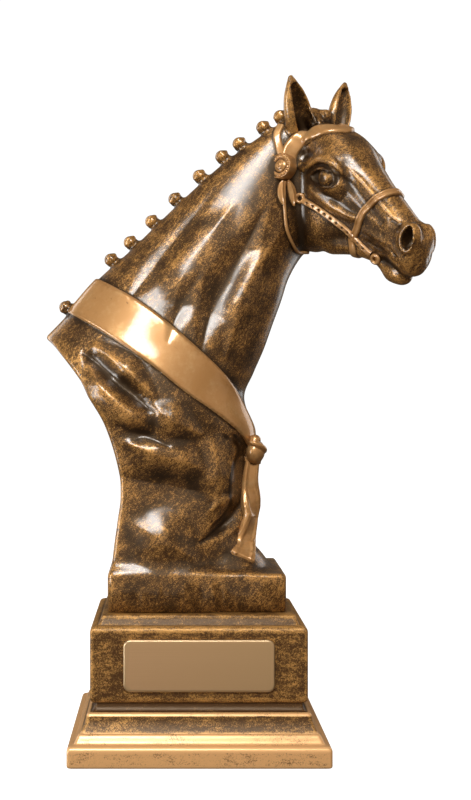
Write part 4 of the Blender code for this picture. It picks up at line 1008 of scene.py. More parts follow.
def sweep(shape, line, out, width, relief, section=flat_strap, pitch=0.0):
    """Carries a strap's cross-section along a line on the surface, with holes at that pitch if any."""
    along = np.gradient(line, axis=0)
    along /= np.linalg.norm(along, axis=1)[:, None]
    across = np.cross(out, along)
    half = np.broadcast_to(np.asarray(width, float) / 2, len(line))
    x = np.linspace(-1, 1, STRAP_POINTS)
    level = np.broadcast_to(relief * section(x), (len(line), STRAP_POINTS)).copy()
    # painted shadow along the strap's edges
    fine = np.where(np.abs(x) == 1, STRAP_SHADOW, 0.0) * np.ones_like(level)
    if pitch:
        travelled = np.append(0, np.cumsum(np.linalg.norm(np.diff(line, axis=0), axis=1)))
        for at in np.arange(pitch, travelled[-1] - pitch / 2, pitch):
            gap = np.hypot((travelled - at)[:, None], x * half[:, None])
            hole = np.exp(-((gap / HOLE_RADIUS) ** 2))
            # each hole is sunk, and painted dark as the shade inside it
            level -= HOLE_DEPTH * hole
            fine -= 0.5 * hole
    top = line[:, None] + across[:, None] * (x * half[:, None])[..., None] + out[:, None] * level[..., None]
    low = line[:, None] + across[:, None] * (np.array([1, -1]) * half[:, None])[..., None] - (
        out[:, None] * STRAP_SINK
    )
    shape.add(np.concatenate([top, low], 1), np.concatenate([fine, np.full((len(line), 2), STRAP_SHADOW)], 1))


def tube(shape, line, radius, closed=False, sides=12):
    """A round tube along a line, which may close on itself."""
    line = np.asarray(line, float)
    along = np.roll(line, -1, 0) - np.roll(line, 1, 0) if closed else np.gradient(line, axis=0)
    along /= np.linalg.norm(along, axis=1)[:, None]
    first = np.cross(along, unit((0.31, -0.54, 0.78)))
    first /= np.linalg.norm(first, axis=1)[:, None]
    second = np.cross(along, first)
    angles = np.linspace(0, 2 * math.pi, sides, endpoint=False)
    radius = np.broadcast_to(np.asarray(radius, float), len(line))[:, None, None]
    spokes = np.cos(angles)[:, None] * first[:, None] + np.sin(angles)[:, None] * second[:, None]
    rows = line[:, None] + radius * spokes
    shape.add(rows, np.zeros(rows.shape[:2]), closed)


def ring_on(shape, clay, point, side=RIGHT):
    """A round ring lying on the surface."""
    centre = clay.settle([head_point(*point, side)])[0]
    out = clay.outward([centre])[0]
    across = unit(np.cross(out, (0.0, 0.0, 1.0)))
    level = np.cross(out, across)
    angles = np.linspace(0, 2 * math.pi, 32, endpoint=False)[:, None]
    loop = centre + out * RING_THICK * 0.7 + RING_RADIUS * (np.cos(angles) * across + np.sin(angles) * level)
    tube(shape, loop, RING_THICK, True)


def whole_way(path):
    """A path that ends at the head's middle, carried on to the same place on the other side."""
    return path + tuple((a, -l, d) for a, l, d in reversed(path[:-1]))


def make_bridle(material, clay):
    """Straps, petals and rings, laid on the finished head."""
    shape = Shape()
    for path, (width, relief), section in ((BROWBAND, BROWBAND_SIZE, flat_strap),
                                           (NOSEBAND, NOSEBAND_SIZE, rolled_strap),
                                           (CHIN_STRAP, CHIN_STRAP_SIZE, flat_strap)):
        sweep(shape, *laid(clay, whole_way(path)), width, relief, section)
    for side in (RIGHT, LEFT):
        sweep(shape, *laid(clay, CHEEKPIECE, side), *CHEEKPIECE_SIZE, flat_strap, HOLE_PITCH)
        sweep(shape, *laid(clay, HEADPIECE, side), *HEADPIECE_SIZE)
        line, out = laid(clay, THROATLATCH, side)
        tube(shape, line + out * THROATLATCH_SIZE[1] * 0.5, THROATLATCH_SIZE[0] / 2)
        for path in PETALS:
            line, out = laid(clay, path, side)
            swelling = np.sin(np.linspace(0.15, math.pi - 0.1, len(line))) ** 0.7
            sweep(shape, line + out * PETAL_LIFT, out, PETAL_WIDTH * swelling, PETAL_RELIEF, leaf)
        for point in (BUCKLE, BIT_RING):
            ring_on(shape, clay, point, side)
    bridle = shape.finish("bridle", material)
    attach(bridle, "root")


def mark_straps(clay):
    """Marks the cast under each strap and rosette, so that painted shade lies along their edges."""

    def mark_under(path, width, side=RIGHT):
        clay.mark(rod(laid(clay, path, side)[0][::8], (width / 2,) * 2))

    for path, size in ((BROWBAND, BROWBAND_SIZE), (NOSEBAND, NOSEBAND_SIZE), (CHIN_STRAP, CHIN_STRAP_SIZE)):
        mark_under(whole_way(path), size[0])
    for side in (RIGHT, LEFT):
        for path, size in ((CHEEKPIECE, CHEEKPIECE_SIZE), (HEADPIECE, HEADPIECE_SIZE),
                           (THROATLATCH, THROATLATCH_SIZE)):
            mark_under(path, size[0], side)
        for path in PETALS:
            mark_under(path, PETAL_WIDTH, side)
        # painted shade round the rosette's edge
        clay.mark(ellipsoid(clay.settle([head_point(*ROSETTE, side)])[0], np.full(3, ROSETTE_RADIUS)))


# The forelock's knobs: centre along, to the side and up, and radius, as shares of HEAD_LENGTH
FORELOCK = ((-0.055, 0.012, 0.004, 0.046), (-0.050, -0.022, 0.000, 0.040), (-0.020, -0.048, 0.034, 0.024),
            (0.000, 0.022, -0.004, 0.042), (-0.015, -0.040, 0.000, 0.040))
FORELOCK_LOCKS = 7


def forelock(clay):
    """The plaited forelock: a low knob between the ears, with locks running down from it."""
    for a, l, d, r in FORELOCK:
        clay.add(ellipsoid(head_point(a, l, d), np.full(3, r * HEAD.unit)), 0.0012)
    for k in range(FORELOCK_LOCKS):
        l = 0.075 - 0.022 * k
        path = ((-0.090, l * 0.6, 0.030), (-0.050, l, 0.052), (0.000, l * 1.1, 0.046),
                (0.050, l * 1.1, 0.030))
        lock = clay.settle([head_point(*p) for p in path])
        clay.swell(rod(curve(lock, 4), (0.0004, 0.0011, 0.0011, 0.0004), True), 0.0005)


# The mass that fills the corner between chest and block: centre and radii in shares of BUST_HEIGHT
CHEST_FOOT = ((0.078, -0.02, 0.066), (0.052, 0.065, 0.046))
FOOT_BLEND = 0.0060
CUT_BLEND = 0.0015


def carve_bust(cell):
    """The whole figure as clay, from the block to the ears."""
    margin = np.array([4, 4, 4]) * CELL
    low = np.array([BUST_LOW.x, min(BUST_LOW.y, -BLOCK_DEPTH / 2), SEAT_Z]) - margin - 0.002
    high = np.array([BUST_HIGH.x, BUST_HIGH.y, BUST_HIGH.z]) + margin + 0.002
    clay = Clay(low, high, cell)
    clay.add(trunk())
    outline = np.vstack([curve(CUT, 8), CUT_BEYOND])
    clay.cut(slab(outline * BUST.unit + [BUST.origin[0], BUST.origin[2]], 0.2 * BUST.unit), CUT_BLEND)
    foot = block((-BLOCK_WIDTH / 2, -BLOCK_DEPTH / 2, SEAT_Z - 0.003),
                 (BLOCK_WIDTH / 2, BLOCK_DEPTH / 2, SEAT_Z + BLOCK_HEIGHT), BLOCK_EDGE)
    clay.add(foot, FOOT_BLEND)
    centre, radii = CHEST_FOOT
    clay.add(ellipsoid(BUST.place(centre), np.array(radii) * BUST.unit), FOOT_BLEND)
    for path, radii, height in FLANKS:
        clay.swell(flank(path, radii), height * BUST.unit)
    carve_head(clay)
    for side in (RIGHT, LEFT):
        channel = clay.settle([BUST.place((x, -0.10 * side, z)) for x, z in CHANNEL])
        # painted shade along the furrow beside the ribbon
        clay.mark(rod(curve(channel, 4), CHANNEL_RADII))
    sash(clay)
    mark_straps(clay)
    for side in (RIGHT, LEFT):
        ear(clay, side)
    plaits(clay)
    forelock(clay)
    return clay


# The bow: the knot on the sash and its hanging end, laid on the chest, each place a share of BUST_HEIGHT
KNOT = (0.104, -0.034, 0.290)
RIBBON = ((0.105, -0.034, 0.268), (0.105, -0.036, 0.235), (0.106, -0.036, 0.200), (0.104, -0.038, 0.165),
          (0.096, -0.046, 0.130), (0.086, -0.056, 0.104), (0.080, -0.066, 0.086))
RIBBON_WIDTH = ((0.0, 0.0044), (0.16, 0.0054), (0.42, 0.0080), (0.60, 0.0074), (0.80, 0.0066), (1.0, 0.0086))
RIBBON_FACING = (0.0, -0.7, 0.0)
RIBBON_LIFT = ((0.0, 0.0012), (0.25, 0.0004), (0.50, 0.0012), (0.75, 0.0006), (1.0, 0.0))
RIBBON_TWIST = ((0.0, 35.0), (0.25, 10.0), (0.50, -25.0), (0.75, 15.0), (1.0, 0.0))


def along_line(pairs, count):
    """Values at even steps along a line, through (share, value) pairs."""
    places, values = np.array(pairs).T
    return np.interp(np.linspace(0, 1, count), places, values)


def carve_bow(cell, bust_clay):
    """The sash's knot at the chest and its hanging end, a ribbon that twists as it falls."""
    line = curve(bust_clay.settle([BUST.place(p) for p in RIBBON]), 10)
    knot = bust_clay.settle([BUST.place(KNOT)])[0]
    out = bust_clay.outward(line) + RIBBON_FACING
    out /= np.linalg.norm(out, axis=1)[:, None]
    along = np.gradient(line, axis=0)
    along /= np.linalg.norm(along, axis=1)[:, None]
    turn = np.radians(along_line(RIBBON_TWIST, len(line)))[:, None]
    out = out * np.cos(turn) + np.cross(along, out) * np.sin(turn)
    line = line + out * along_line(RIBBON_LIFT, len(line))[:, None]
    places = np.vstack([line, knot])
    reach = 0.0075
    clay = Clay(places.min(0) - reach, places.max(0) + reach, cell)
    width = along_line(RIBBON_WIDTH, len(line))
    clay.add(band(line, out, width, 0.0008, 0.0012, 0.0005), 0.0, True)
    across = np.cross(out, along)
    for share, tall in ((-0.32, 0.0007), (0.36, 0.0006)):
        fold = line + out * 0.0006 + across * (width * share)[:, None]
        clay.add(rod(fold, (tall * 0.6, tall, tall, tall * 0.7)), 0.0005, True)
    facing = bust_clay.outward([knot])[0]
    level = unit(np.cross((0.0, 0.0, 1.0), facing))
    up = np.cross(facing, level)
    centre = knot + facing * 0.0014
    axes = (level, facing, up)
    clay.add(ellipsoid(centre - up * 0.0006, (0.0036, 0.0030, 0.0040), axes), 0.0004, True)
    upper = centre + up * 0.0036 - level * 0.0016
    clay.add(ellipsoid(upper, (0.0019, 0.0020, 0.0018), axes), 0.0003, True)
    angles = np.linspace(-1.7, 1.7, 15)[:, None]
    wrap = centre + up * (0.0012 - 0.0016 * np.sin(angles)) + (
        level * np.sin(angles) * 0.0033 + facing * np.cos(angles) * 0.0027
    )
    clay.add(rod(wrap, (0.0008, 0.0010, 0.0008)), 0.0002, True)
    return clay


# Rosettes: the way each faces, how far it stands up, and its pleats
ROSETTE_FACING = ((-0.66, -0.75, 0.05), (0.80, 0.58, 0.05))
ROSETTE_RISE = 0.0017
ROSETTE_LIFT = 0.0013
ROSETTE_BACK = 0.0030
ROSETTE_PLEATS = 26


def rosette_height(radius, angle):
    """How far the rosette stands up, by share of its radius and angle: rim, pleats and a coiled boss."""
    rim = 0.62 * np.exp(-((radius - 0.93) / 0.06) ** 2)
    pleats = (0.55 + 0.16 * np.cos(ROSETTE_PLEATS * angle)) * np.exp(-((radius - 0.70) / 0.17) ** 4)
    coil = 0.5 + 0.5 * np.cos(angle - 2 * math.pi * radius / 0.19)
    boss = np.clip(1 - (radius / 0.52) ** 2, 0, 1) ** 0.5 * (0.80 + 0.20 * coil)
    return np.maximum(np.maximum(rim, pleats), boss)


def carve_rosette(cell, centre, facing):
    out = unit(facing)
    across = unit(np.cross(out, (0.0, 0.0, 1.0)))
    axes = np.array([across, np.cross(out, across), out])
    reach = ROSETTE_RADIUS * 1.2
    clay = Clay(centre - reach, centre + reach, cell)

    def distance(points):
        local = (points - centre.astype(np.float32)) @ axes.T.astype(np.float32)
        radius = np.sqrt(local[..., 0] ** 2 + local[..., 1] ** 2) / ROSETTE_RADIUS
        angle = np.arctan2(local[..., 1], local[..., 0])
        top = local[..., 2] - rosette_height(radius, angle) * ROSETTE_RISE
        side = (radius - 1) * ROSETTE_RADIUS
        return (np.maximum(np.maximum(top, side), -local[..., 2] - ROSETTE_BACK) * 0.8).astype(np.float32)

    clay.add(Form(centre - reach, centre + reach, distance), 0.0, True)
    return clay


def make_rosettes(material, bust_clay):
    for side, facing, word in ((RIGHT, ROSETTE_FACING[0], "near"), (LEFT, ROSETTE_FACING[1], "far")):
        centre = bust_clay.settle([head_point(*ROSETTE, side)])[0] + unit(facing) * ROSETTE_LIFT
        clay = carve_rosette(ORNAMENT_CELL, centre, facing)
        rosette = mesh_of("rosette_" + word, clay, ORNAMENT_TRIANGLES)
        rosette.data.materials.append(material)
        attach(rosette, "root")


def blurred(values, reach, rounds=2):
    """The mean over a cube reaching so many cells each way, taken again for each round."""
    for _ in range(rounds):
        for k in range(3):
            moved = np.moveaxis(values, k, 0)
            before, after = np.repeat(moved[:1], reach + 1, 0), np.repeat(moved[-1:], reach, 0)
            padded = np.concatenate([before, moved, after])
            total = np.cumsum(padded, 0, dtype=np.float32)
            moved = (total[2 * reach + 1:] - total[:-2 * reach - 1]) / (2 * reach + 1)
            values = np.moveaxis(moved, 0, k)
    return values


# How far gilding stops short of its form's edge, and the reach over which raised and sunk are judged
GILT_MARGIN = 0.00015
FINE_REACH = 0.0008
BROAD_REACH = 0.0030


def raised(clay, points, reach):
    """How raised each point lies, over a cube of that reach: 0 on flat ground, negative in a hollow."""
    step = max(1, int(round(reach / clay.cell / 2)))
    solid = np.clip(0.5 - clay.field / (2 * clay.cell), 0, 1)[::step, ::step, ::step]
    cells = max(1, int(round(reach / clay.cell / step)))
    value, _ = read_grid(blurred(solid, cells), clay.low, clay.cell * step, points)
    return 0.5 - value


def mesh_of(name, clay, triangles, foot=None):
    """A mesh of the clay's skin with no more than so many triangles, with its paint values."""
    points, faces = skin(clay)
    mesh = bpy.data.meshes.new(name)
    mesh.from_pydata(points.tolist(), [], faces.tolist())
    mesh.update()
    if foot is not None:
        flat_bottom(mesh, foot)
    thing = bpy.data.objects.new(name, mesh)
    bpy.context.scene.collection.objects.link(thing)
    fewer = thing.modifiers.new("Decimate", "DECIMATE")
    fewer.ratio = min(1.0, triangles / (2 * len(mesh.polygons)))
    thing.data = bpy.data.meshes.new_from_object(thing.evaluated_get(bpy.context.evaluated_depsgraph_get()))
    thing.modifiers.clear()
    mesh = thing.data
    places = np.empty(len(mesh.vertices) * 3)
    mesh.vertices.foreach_get("co", places)
    places = places.reshape(-1, 3)
    gilt = read_grid(clay.gilding, clay.low, clay.cell, places)[0] - GILT_MARGIN
    paint(mesh, "gilt", np.clip(-gilt * 1000, -1, 1))
    # fine: how raised each point lies, less the painted shade near the marked forms
    shade = np.clip(1 - read_grid(clay.shade, clay.low, clay.cell, places)[0] / SHADE_REACH, 0, 1)
    paint(mesh, "fine", raised(clay, places, FINE_REACH) - SHADE_DEPTH * shade)
    paint(mesh, "broad", raised(clay, places, BROAD_REACH))
    mesh.shade_smooth()
    return thing


def paint(mesh, name, values):
    """Stores one number at each vertex, which the finish reads."""
    layer = mesh.attributes.new(name, "FLOAT", "POINT")
    layer.data.foreach_set("value", np.asarray(values, np.float32))


def flat_bottom(mesh, height):
    """Cuts the mesh off level, and closes it."""
    shape = bmesh.new()
    shape.from_mesh(mesh)
    everything = shape.verts[:] + shape.edges[:] + shape.faces[:]
    cut = bmesh.ops.bisect_plane(shape, geom=everything, plane_co=(0, 0, height), plane_no=(0, 0, -1),
                                 clear_outer=True)
    edges = [e for e in cut["geom_cut"] if isinstance(e, bmesh.types.BMEdge)]
    bmesh.ops.edgeloop_fill(shape, edges=edges)
    bmesh.ops.recalc_face_normals(shape, faces=shape.faces[:])
    shape.to_mesh(mesh)
    shape.free()


CORNER_STEPS = 6
EDGE_MARGIN = 0.0006


def ring(width, depth, corner, height):
    """One level of a moulding: a rectangle with rounded corners, and how near each point is to a corner."""
    points, edges = [], []
    for i, (sx, sy) in enumerate(((1, 1), (-1, 1), (-1, -1), (1, -1))):
        start = math.pi / 2 * i
        middle = np.array([sx * (width / 2 - corner), sy * (depth / 2 - corner)])
        for step in range(-1, CORNER_STEPS + 2):
            angle = start + math.pi / 2 * min(max(step, 0), CORNER_STEPS) / CORNER_STEPS
            place = middle + corner * np.array([math.cos(angle), math.sin(angle)])
            aside = {-1: -1, CORNER_STEPS + 1: 1}.get(step, 0) * EDGE_MARGIN
            place = place + aside * np.array([-math.sin(angle), math.cos(angle)])
            points.append((*place, height))
            edges.append(0.0 if aside else 1.0)
    return points, edges


def moulded(name, levels, marks):
    """A closed solid through level rings of (width, depth, corner, height), marked with edge and bright."""
    points, edges, brights = [], [], []
    for level, (edge, bright) in zip(levels, marks):
        loop, near = ring(*level)
        points += loop
        edges += [max(edge, 0.8 * x) for x in near]
        brights += [bright] * len(loop)
    around = len(points) // len(levels)
    faces = [tuple(reversed(range(around))), tuple(range(len(points) - around, len(points)))]
    for start in range(0, len(points) - around, around):
        for i in range(around):
            j = (i + 1) % around
            faces.append((start + i, start + j, start + around + j, start + around + i))
    mesh = bpy.data.meshes.new(name)
    mesh.from_pydata(points, [], faces)
    mesh.shade_smooth()
    mesh.set_sharp_from_angle(angle=math.radians(50))
    paint(mesh, "edge", edges)
    paint(mesh, "bright", brights)
    thing = bpy.data.objects.new(name, mesh)
    bpy.context.scene.collection.objects.link(thing)
    return thing


def rounded(inset, height, edge, up, steps=5):
    """Inset and height of points round one quarter of an edge; up is True at the top of a block."""
    found = []
    for angle in np.linspace(0, math.pi / 2, steps + 1):
        if up:
            found.append((inset + edge * (1 - math.cos(angle)), height - edge * (1 - math.sin(angle)), 1.0))
        else:
            found.append((inset + edge * (1 - math.sin(angle)), height + edge * (1 - math.cos(angle)), 0.6))
    return found


# How bright the gold lies on each moulding: 1 is clean gold, negative is dark. The cove's dark is painted
# shade under the bead, and the slope and step are painted darker, partly as shade on their upward faces
BASE_BRIGHT = 0.75
OGEE_BRIGHT = 0.80
SLOPE_BRIGHT = -0.15
BEAD_BRIGHT = 0.50
COVE_BRIGHT = -0.70
DIE_BRIGHT = -0.10
STEP_BRIGHT = -0.35


def plinth_profile():
    """From the bottom up: inset from the base, height, nearness to an edge, and brightness."""
    rows = []

    def put(points, bright):
        rows.extend((inset, z, edge, bright) for inset, z, edge in points)

    put(rounded(0.0, 0.0, BASE_EDGE / 2, False), BASE_BRIGHT)
    z = BASE_HEIGHT
    put(rounded(0.0, z, BASE_EDGE, True), BASE_BRIGHT)
    for share in np.linspace(0, 1, 13)[1:]:
        wave = share - math.sin(2 * math.pi * share) / (2 * math.pi) * 0.8
        put([(BASE_EDGE + (OGEE_INSET - BASE_EDGE) * share, z + OGEE_HEIGHT * wave, 0.0)], OGEE_BRIGHT)
    inset, z = OGEE_INSET, z + OGEE_HEIGHT
    for share in np.linspace(0, 1, 7)[1:]:
        put([(inset + SLOPE_INSET * (1 - (1 - share) ** 1.5), z + SLOPE_HEIGHT * share, 0.0)], SLOPE_BRIGHT)
    inset, z = inset + SLOPE_INSET, z + SLOPE_HEIGHT
    for angle in np.linspace(0, math.pi / 2, 5)[1:]:
        aside = inset + BEAD_INSET * (1 - math.cos(angle))
        put([(aside, z + BEAD_HEIGHT * math.sin(angle), 0.8)], BEAD_BRIGHT)
    inset, z = inset + BEAD_INSET, z + BEAD_HEIGHT
    for angle in np.linspace(0, math.pi / 2, 7)[1:]:
        aside = inset + COVE_INSET * math.sin(angle)
        put([(aside, z + COVE_HEIGHT * (1 - math.cos(angle)), 0.0)], COVE_BRIGHT)
    z += COVE_HEIGHT
    die = (BASE_WIDTH - DIE_WIDTH) / 2
    put(rounded(die, z, DIE_EDGE, False), DIE_BRIGHT)
    z = PLINTH_HIGH.z - STEP_HEIGHT
    put(rounded(die, z, DIE_EDGE, True), DIE_BRIGHT)
    put([(die + STEP_INSET - STEP_EDGE, z, 0.0)], STEP_BRIGHT)
    put(rounded(die + STEP_INSET, PLINTH_HIGH.z, STEP_EDGE, True), STEP_BRIGHT)
    return rows


def with_margins(rows):
    """Rows with one more at each end of every long flat, so that the marks of its edges stay there."""
    found = [rows[0]]
    for a, b in zip(rows, rows[1:]):
        a, b = np.array(a), np.array(b)
        length = math.hypot(*(b - a)[:2])
        if length < 1e-5:
            continue
        if length > 3 * EDGE_MARGIN:
            for share, bright in ((EDGE_MARGIN / length, a[3]), (1 - EDGE_MARGIN / length, b[3])):
                found.append((*(a + (b - a) * share)[:2], 0.0, bright))
        found.append(tuple(b))
    return found


def make_plinth(material):
    depth_share = (BASE_DEPTH - DIE_DEPTH) / (BASE_WIDTH - DIE_WIDTH)
    levels, marks = [], []
    for inset, z, edge, bright in with_margins(plinth_profile()):
        levels.append((BASE_WIDTH - 2 * inset, BASE_DEPTH - 2 * inset * depth_share, PLINTH_CORNER, z))
        marks.append((edge, bright))
    plinth = moulded("plinth_cast", levels, marks)
    plinth.data.materials.append(material)
    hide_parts("plinth")
    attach(plinth, "root")


def make_plate(material):
    """The bare name plate, with a fine rounded edge, upright on the front of the die."""
    width, height = PLATE_HIGH.x - PLATE_LOW.x, PLATE_HIGH.z - PLATE_LOW.z
    thick = PLATE_HIGH.y - PLATE_LOW.y
    levels, marks = [(width, height, PLATE_CORNER, 0.0)], [(0.0, 0.0)]
    for inset, z, edge in rounded(0.0, thick, PLATE_EDGE, True):
        levels.append((width - 2 * inset, height - 2 * inset, PLATE_CORNER - inset, z))
        marks.append((edge, 0.0))
    inset = PLATE_EDGE + EDGE_MARGIN
    levels.append((width - 2 * inset, height - 2 * inset, PLATE_CORNER - inset, thick))
    marks.append((0.0, 0.0))
    plate = moulded("name_plate_metal", levels, marks)
    middle = (PLATE_LOW.z + PLATE_HIGH.z) / 2
    for vertex in plate.data.vertices:
        x, y, z = vertex.co
        vertex.co = (x, PLATE_HIGH.y - z, middle + y)
    plate.data.materials.append(material)
    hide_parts("name_plate")
    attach(plate, "root")


class Nodes:
    """A material's node tree, built by name."""

    def __init__(self, name):
        self.material = bpy.data.materials.new(name)
        self.material.use_nodes = True
        self.tree = self.material.node_tree
        self.shader = self.tree.nodes["Principled BSDF"]

    def feed(self, socket, value):
        if isinstance(value, bpy.types.NodeSocket):
            self.tree.links.new(value, socket)
        elif isinstance(value, tuple) and len(value) == 3 and socket.type == "RGBA":
            socket.default_value = (*value, 1.0)
        else:
            socket.default_value = value

    def node(self, kind, settings=(), **inputs):
        made = self.tree.nodes.new(kind)
        for key, value in dict(settings).items():
            setattr(made, key, value)
        for key, value in inputs.items():
            self.feed(made.inputs[key.replace("_", " ")], value)
        return made

    def math(self, operation, a, b=0.0, clamp=False):
        made = self.node("ShaderNodeMath", {"operation": operation, "use_clamp": clamp})
        self.feed(made.inputs[0], a)
        self.feed(made.inputs[1], b)
        return made.outputs[0]

    def between(self, value, low, high):
        return self.math("MINIMUM", self.math("MAXIMUM", value, low), high)

    def value(self, name):
        return self.node("ShaderNodeAttribute", {"attribute_name": name}).outputs["Fac"]

    def noise(self, scale, detail=2.0, roughness=0.5, stretch=(1.0, 1.0, 1.0), turn=(0.0, 0.0, 0.0)):
        place = self.node("ShaderNodeTexCoord").outputs["Object"]
        mapped = self.node("ShaderNodeMapping", {"vector_type": "TEXTURE"}, Vector=place, Scale=stretch,
                           Rotation=turn).outputs[0]
        made = self.node("ShaderNodeTexNoise", {}, Vector=mapped, Scale=scale, Detail=detail,
                         Roughness=roughness)
        return made.outputs["Fac"]

    def ramp(self, value, low, high, start=0.0, end=1.0):
        made = self.node("ShaderNodeMapRange", {"interpolation_type": "SMOOTHSTEP"})
        keys = ("Value", "From Min", "From Max", "To Min", "To Max")
        for key, number in zip(keys, (value, low, high, start, end)):
            self.feed(made.inputs[key], number)
        return made.outputs[0]

    def mix(self, share, a, b):
        made = self.node("ShaderNodeMix", {"data_type": "RGBA"})
        self.feed(made.inputs["Factor"], share)
        self.feed(made.inputs["A"], a)
        self.feed(made.inputs["B"], b)
        return made.outputs["Result"]

    def set(self, **inputs):
        for key, value in inputs.items():
            self.feed(self.shader.inputs[key.replace("_", " ")], value)


# The finish's colours, darkest first
UMBER = (0.012, 0.0052, 0.0018)
BROWN = (0.046, 0.020, 0.0070)
OLD_GOLD = (0.63, 0.325, 0.092)
FACE_GOLD = (0.50, 0.265, 0.078)
PALE_GOLD = (0.52, 0.315, 0.135)
COPPER_GOLD = (0.43, 0.222, 0.080)
BASE_GOLD = (0.76, 0.44, 0.195)


def cast_finish():
    """Umber wash under gold dry-brushed on what stands up, gilded trim, and a clear lacquer over all.

    Painted shade darkens the marked hollows and seams, and the trim's edges and holes.
    """
    n = Nodes("bust_cast_finish")
    gilt = n.value("gilt")
    fine = n.between(n.value("fine"), -0.16, 0.10)
    broad = n.between(n.value("broad"), -0.14, 0.09)
    speckle = n.noise(2800, 4.0, 0.9)
    streak = n.noise(1300, 3.0, 0.7, (2.6, 1.0, 1.0), (0.0, -0.9, 0.0))
    cloud = n.noise(150, 4.0, 0.7)
    scratch = n.noise(900, 2.0, 0.5, (16.0, 1.0, 1.0), (0.0, 0.75, 0.0))
    height = n.math("ADD", n.math("MULTIPLY", fine, 3.4), n.math("MULTIPLY", broad, 3.0))
    grain = n.math("ADD", n.math("MULTIPLY", n.math("SUBTRACT", speckle, 0.5), 6.0),
                   n.math("MULTIPLY", n.math("SUBTRACT", streak, 0.5), 2.2))
    patches = n.math("MULTIPLY", n.math("SUBTRACT", cloud, 0.5), 2.2)
    dusting = n.math("ADD", n.math("ADD", height, grain), patches)
    gold = n.ramp(dusting, 0.10, 0.95)
    # the umber wash in the hollows, together with the painted shade of the marked forms
    wash_and_shade = n.ramp(n.math("ADD", height, patches), -0.55, 0.30)
    ground = n.mix(wash_and_shade, UMBER, BROWN)
    brushed = n.mix(n.math("MULTIPLY", gold, 0.9), ground, OLD_GOLD)
    # the trim turns umber in its hollows, and as painted shade along strap edges and in holes
    trim_dark = n.ramp(n.math("ADD", fine, n.math("MULTIPLY", grain, 0.06)), -0.18, -0.05)
    trim = n.mix(trim_dark, UMBER, n.mix(n.ramp(cloud, 0.45, 0.75), COPPER_GOLD, PALE_GOLD))
    trim = n.mix(n.ramp(scratch, 0.70, 0.78, 0.0, 0.6), trim, BROWN)
    ragged = n.math("MULTIPLY", n.math("SUBTRACT", speckle, 0.5), 0.10)
    edge = n.ramp(n.math("ADD", gilt, ragged), -0.03, 0.05)
    n.set(Base_Color=n.mix(edge, brushed, trim))
    n.set(Metallic=n.math("ADD", n.math("MULTIPLY", gold, 0.50), n.math("MULTIPLY", edge, 0.20), True))
    n.set(Roughness=n.math("ADD", n.math("MULTIPLY", speckle, 0.25), 0.24))
    n.set(Coat_Weight=n.ramp(fine, -0.16, -0.03, 0.10, 0.80), Coat_Roughness=0.08, Coat_IOR=1.5)
    n.set(Specular_Tint=(1.0, 0.72, 0.45))
    rough = n.math("ADD", n.math("MULTIPLY", speckle, 0.8), n.math("MULTIPLY", streak, 0.4))
    height_bump = n.math("MULTIPLY", rough, n.ramp(gilt, -0.2, 0.1, 1.0, 0.15))
    bump = n.node("ShaderNodeBump", {}, Height=height_bump, Strength=0.6, Distance=0.00014)
    n.set(Normal=bump.outputs[0])
    lacquer = n.node("ShaderNodeBump", {}, Height=height_bump, Strength=0.35, Distance=0.00010)
    n.feed(n.shader.inputs["Coat Normal"], lacquer.outputs[0])
    return n.material


def plinth_paint():
    """Gold-brown speckle on the faces, cleaner gold on the base, the ogee and every edge, and painted shade
    in the cove.
    """
    n = Nodes("plinth_cast_finish")
    edge, bright = n.value("edge"), n.value("bright")
    speckle = n.noise(2500, 4.0, 0.9)
    streak = n.noise(700, 3.0, 0.6, (2.8, 1.0, 1.0))
    cloud = n.noise(120, 3.0, 0.6)
    grain = n.math("ADD", n.math("MULTIPLY", n.math("SUBTRACT", speckle, 0.5), 4.6),
                   n.math("MULTIPLY", n.math("SUBTRACT", streak, 0.5), 1.6))
    patches = n.math("MULTIPLY", n.math("SUBTRACT", cloud, 0.5), 1.2)
    lift = n.math("ADD", n.math("MULTIPLY", edge, 0.45), n.math("MULTIPLY", bright, 0.9))
    gold = n.ramp(n.math("ADD", n.math("ADD", lift, grain), patches), -0.20, 0.60)
    clean = n.ramp(n.math("ADD", bright, n.math("MULTIPLY", edge, 0.4)), 0.25, 0.85)
    n.set(Base_Color=n.mix(gold, BROWN, n.mix(clean, FACE_GOLD, BASE_GOLD)))
    n.set(Metallic=n.math("MULTIPLY", gold, 0.35))
    n.set(Roughness=n.math("ADD", n.math("MULTIPLY", speckle, 0.2), 0.26))
    n.set(Coat_Weight=n.ramp(bright, -0.20, 0.60, 0.10, 0.45), Coat_Roughness=0.16, Coat_IOR=1.5)
    n.set(Specular_Tint=(1.0, 0.72, 0.45))
    rough = n.math("MULTIPLY", n.math("ADD", speckle, streak), n.ramp(clean, 0.0, 1.0, 1.0, 0.25))
    bump = n.node("ShaderNodeBump", {}, Height=rough, Strength=0.5, Distance=0.00012)
    n.set(Normal=bump.outputs[0])
    n.feed(n.shader.inputs["Coat Normal"], bump.outputs[0])
    return n.material


def plate_metal():
    """Champagne brass, brushed lengthwise."""
    n = Nodes("plate_brushed_metal")
    brush = n.noise(260, 6.0, 0.7, (20.0, 1.0, 0.07))
    face = n.mix(brush, (0.74, 0.525, 0.325), (0.84, 0.62, 0.40))
    n.set(Base_Color=n.mix(n.value("edge"), face, (0.72, 0.55, 0.34)))
    n.set(Metallic=1.0, Anisotropic=0.4)
    n.set(Roughness=n.math("ADD", n.math("MULTIPLY", brush, 0.18), 0.30))
    bump = n.node("ShaderNodeBump", {}, Height=brush, Strength=0.25, Distance=0.00003)
    n.set(Normal=bump.outputs[0])
    return n.material


# The room's own light, and the glow of the floor, which the far room meets without a line
ROOM_LIGHT = 0.11
FLOOR_GLOW = 1.0
FAR_FLOOR = FLOOR_GLOW + 0.5 * ROOM_LIGHT


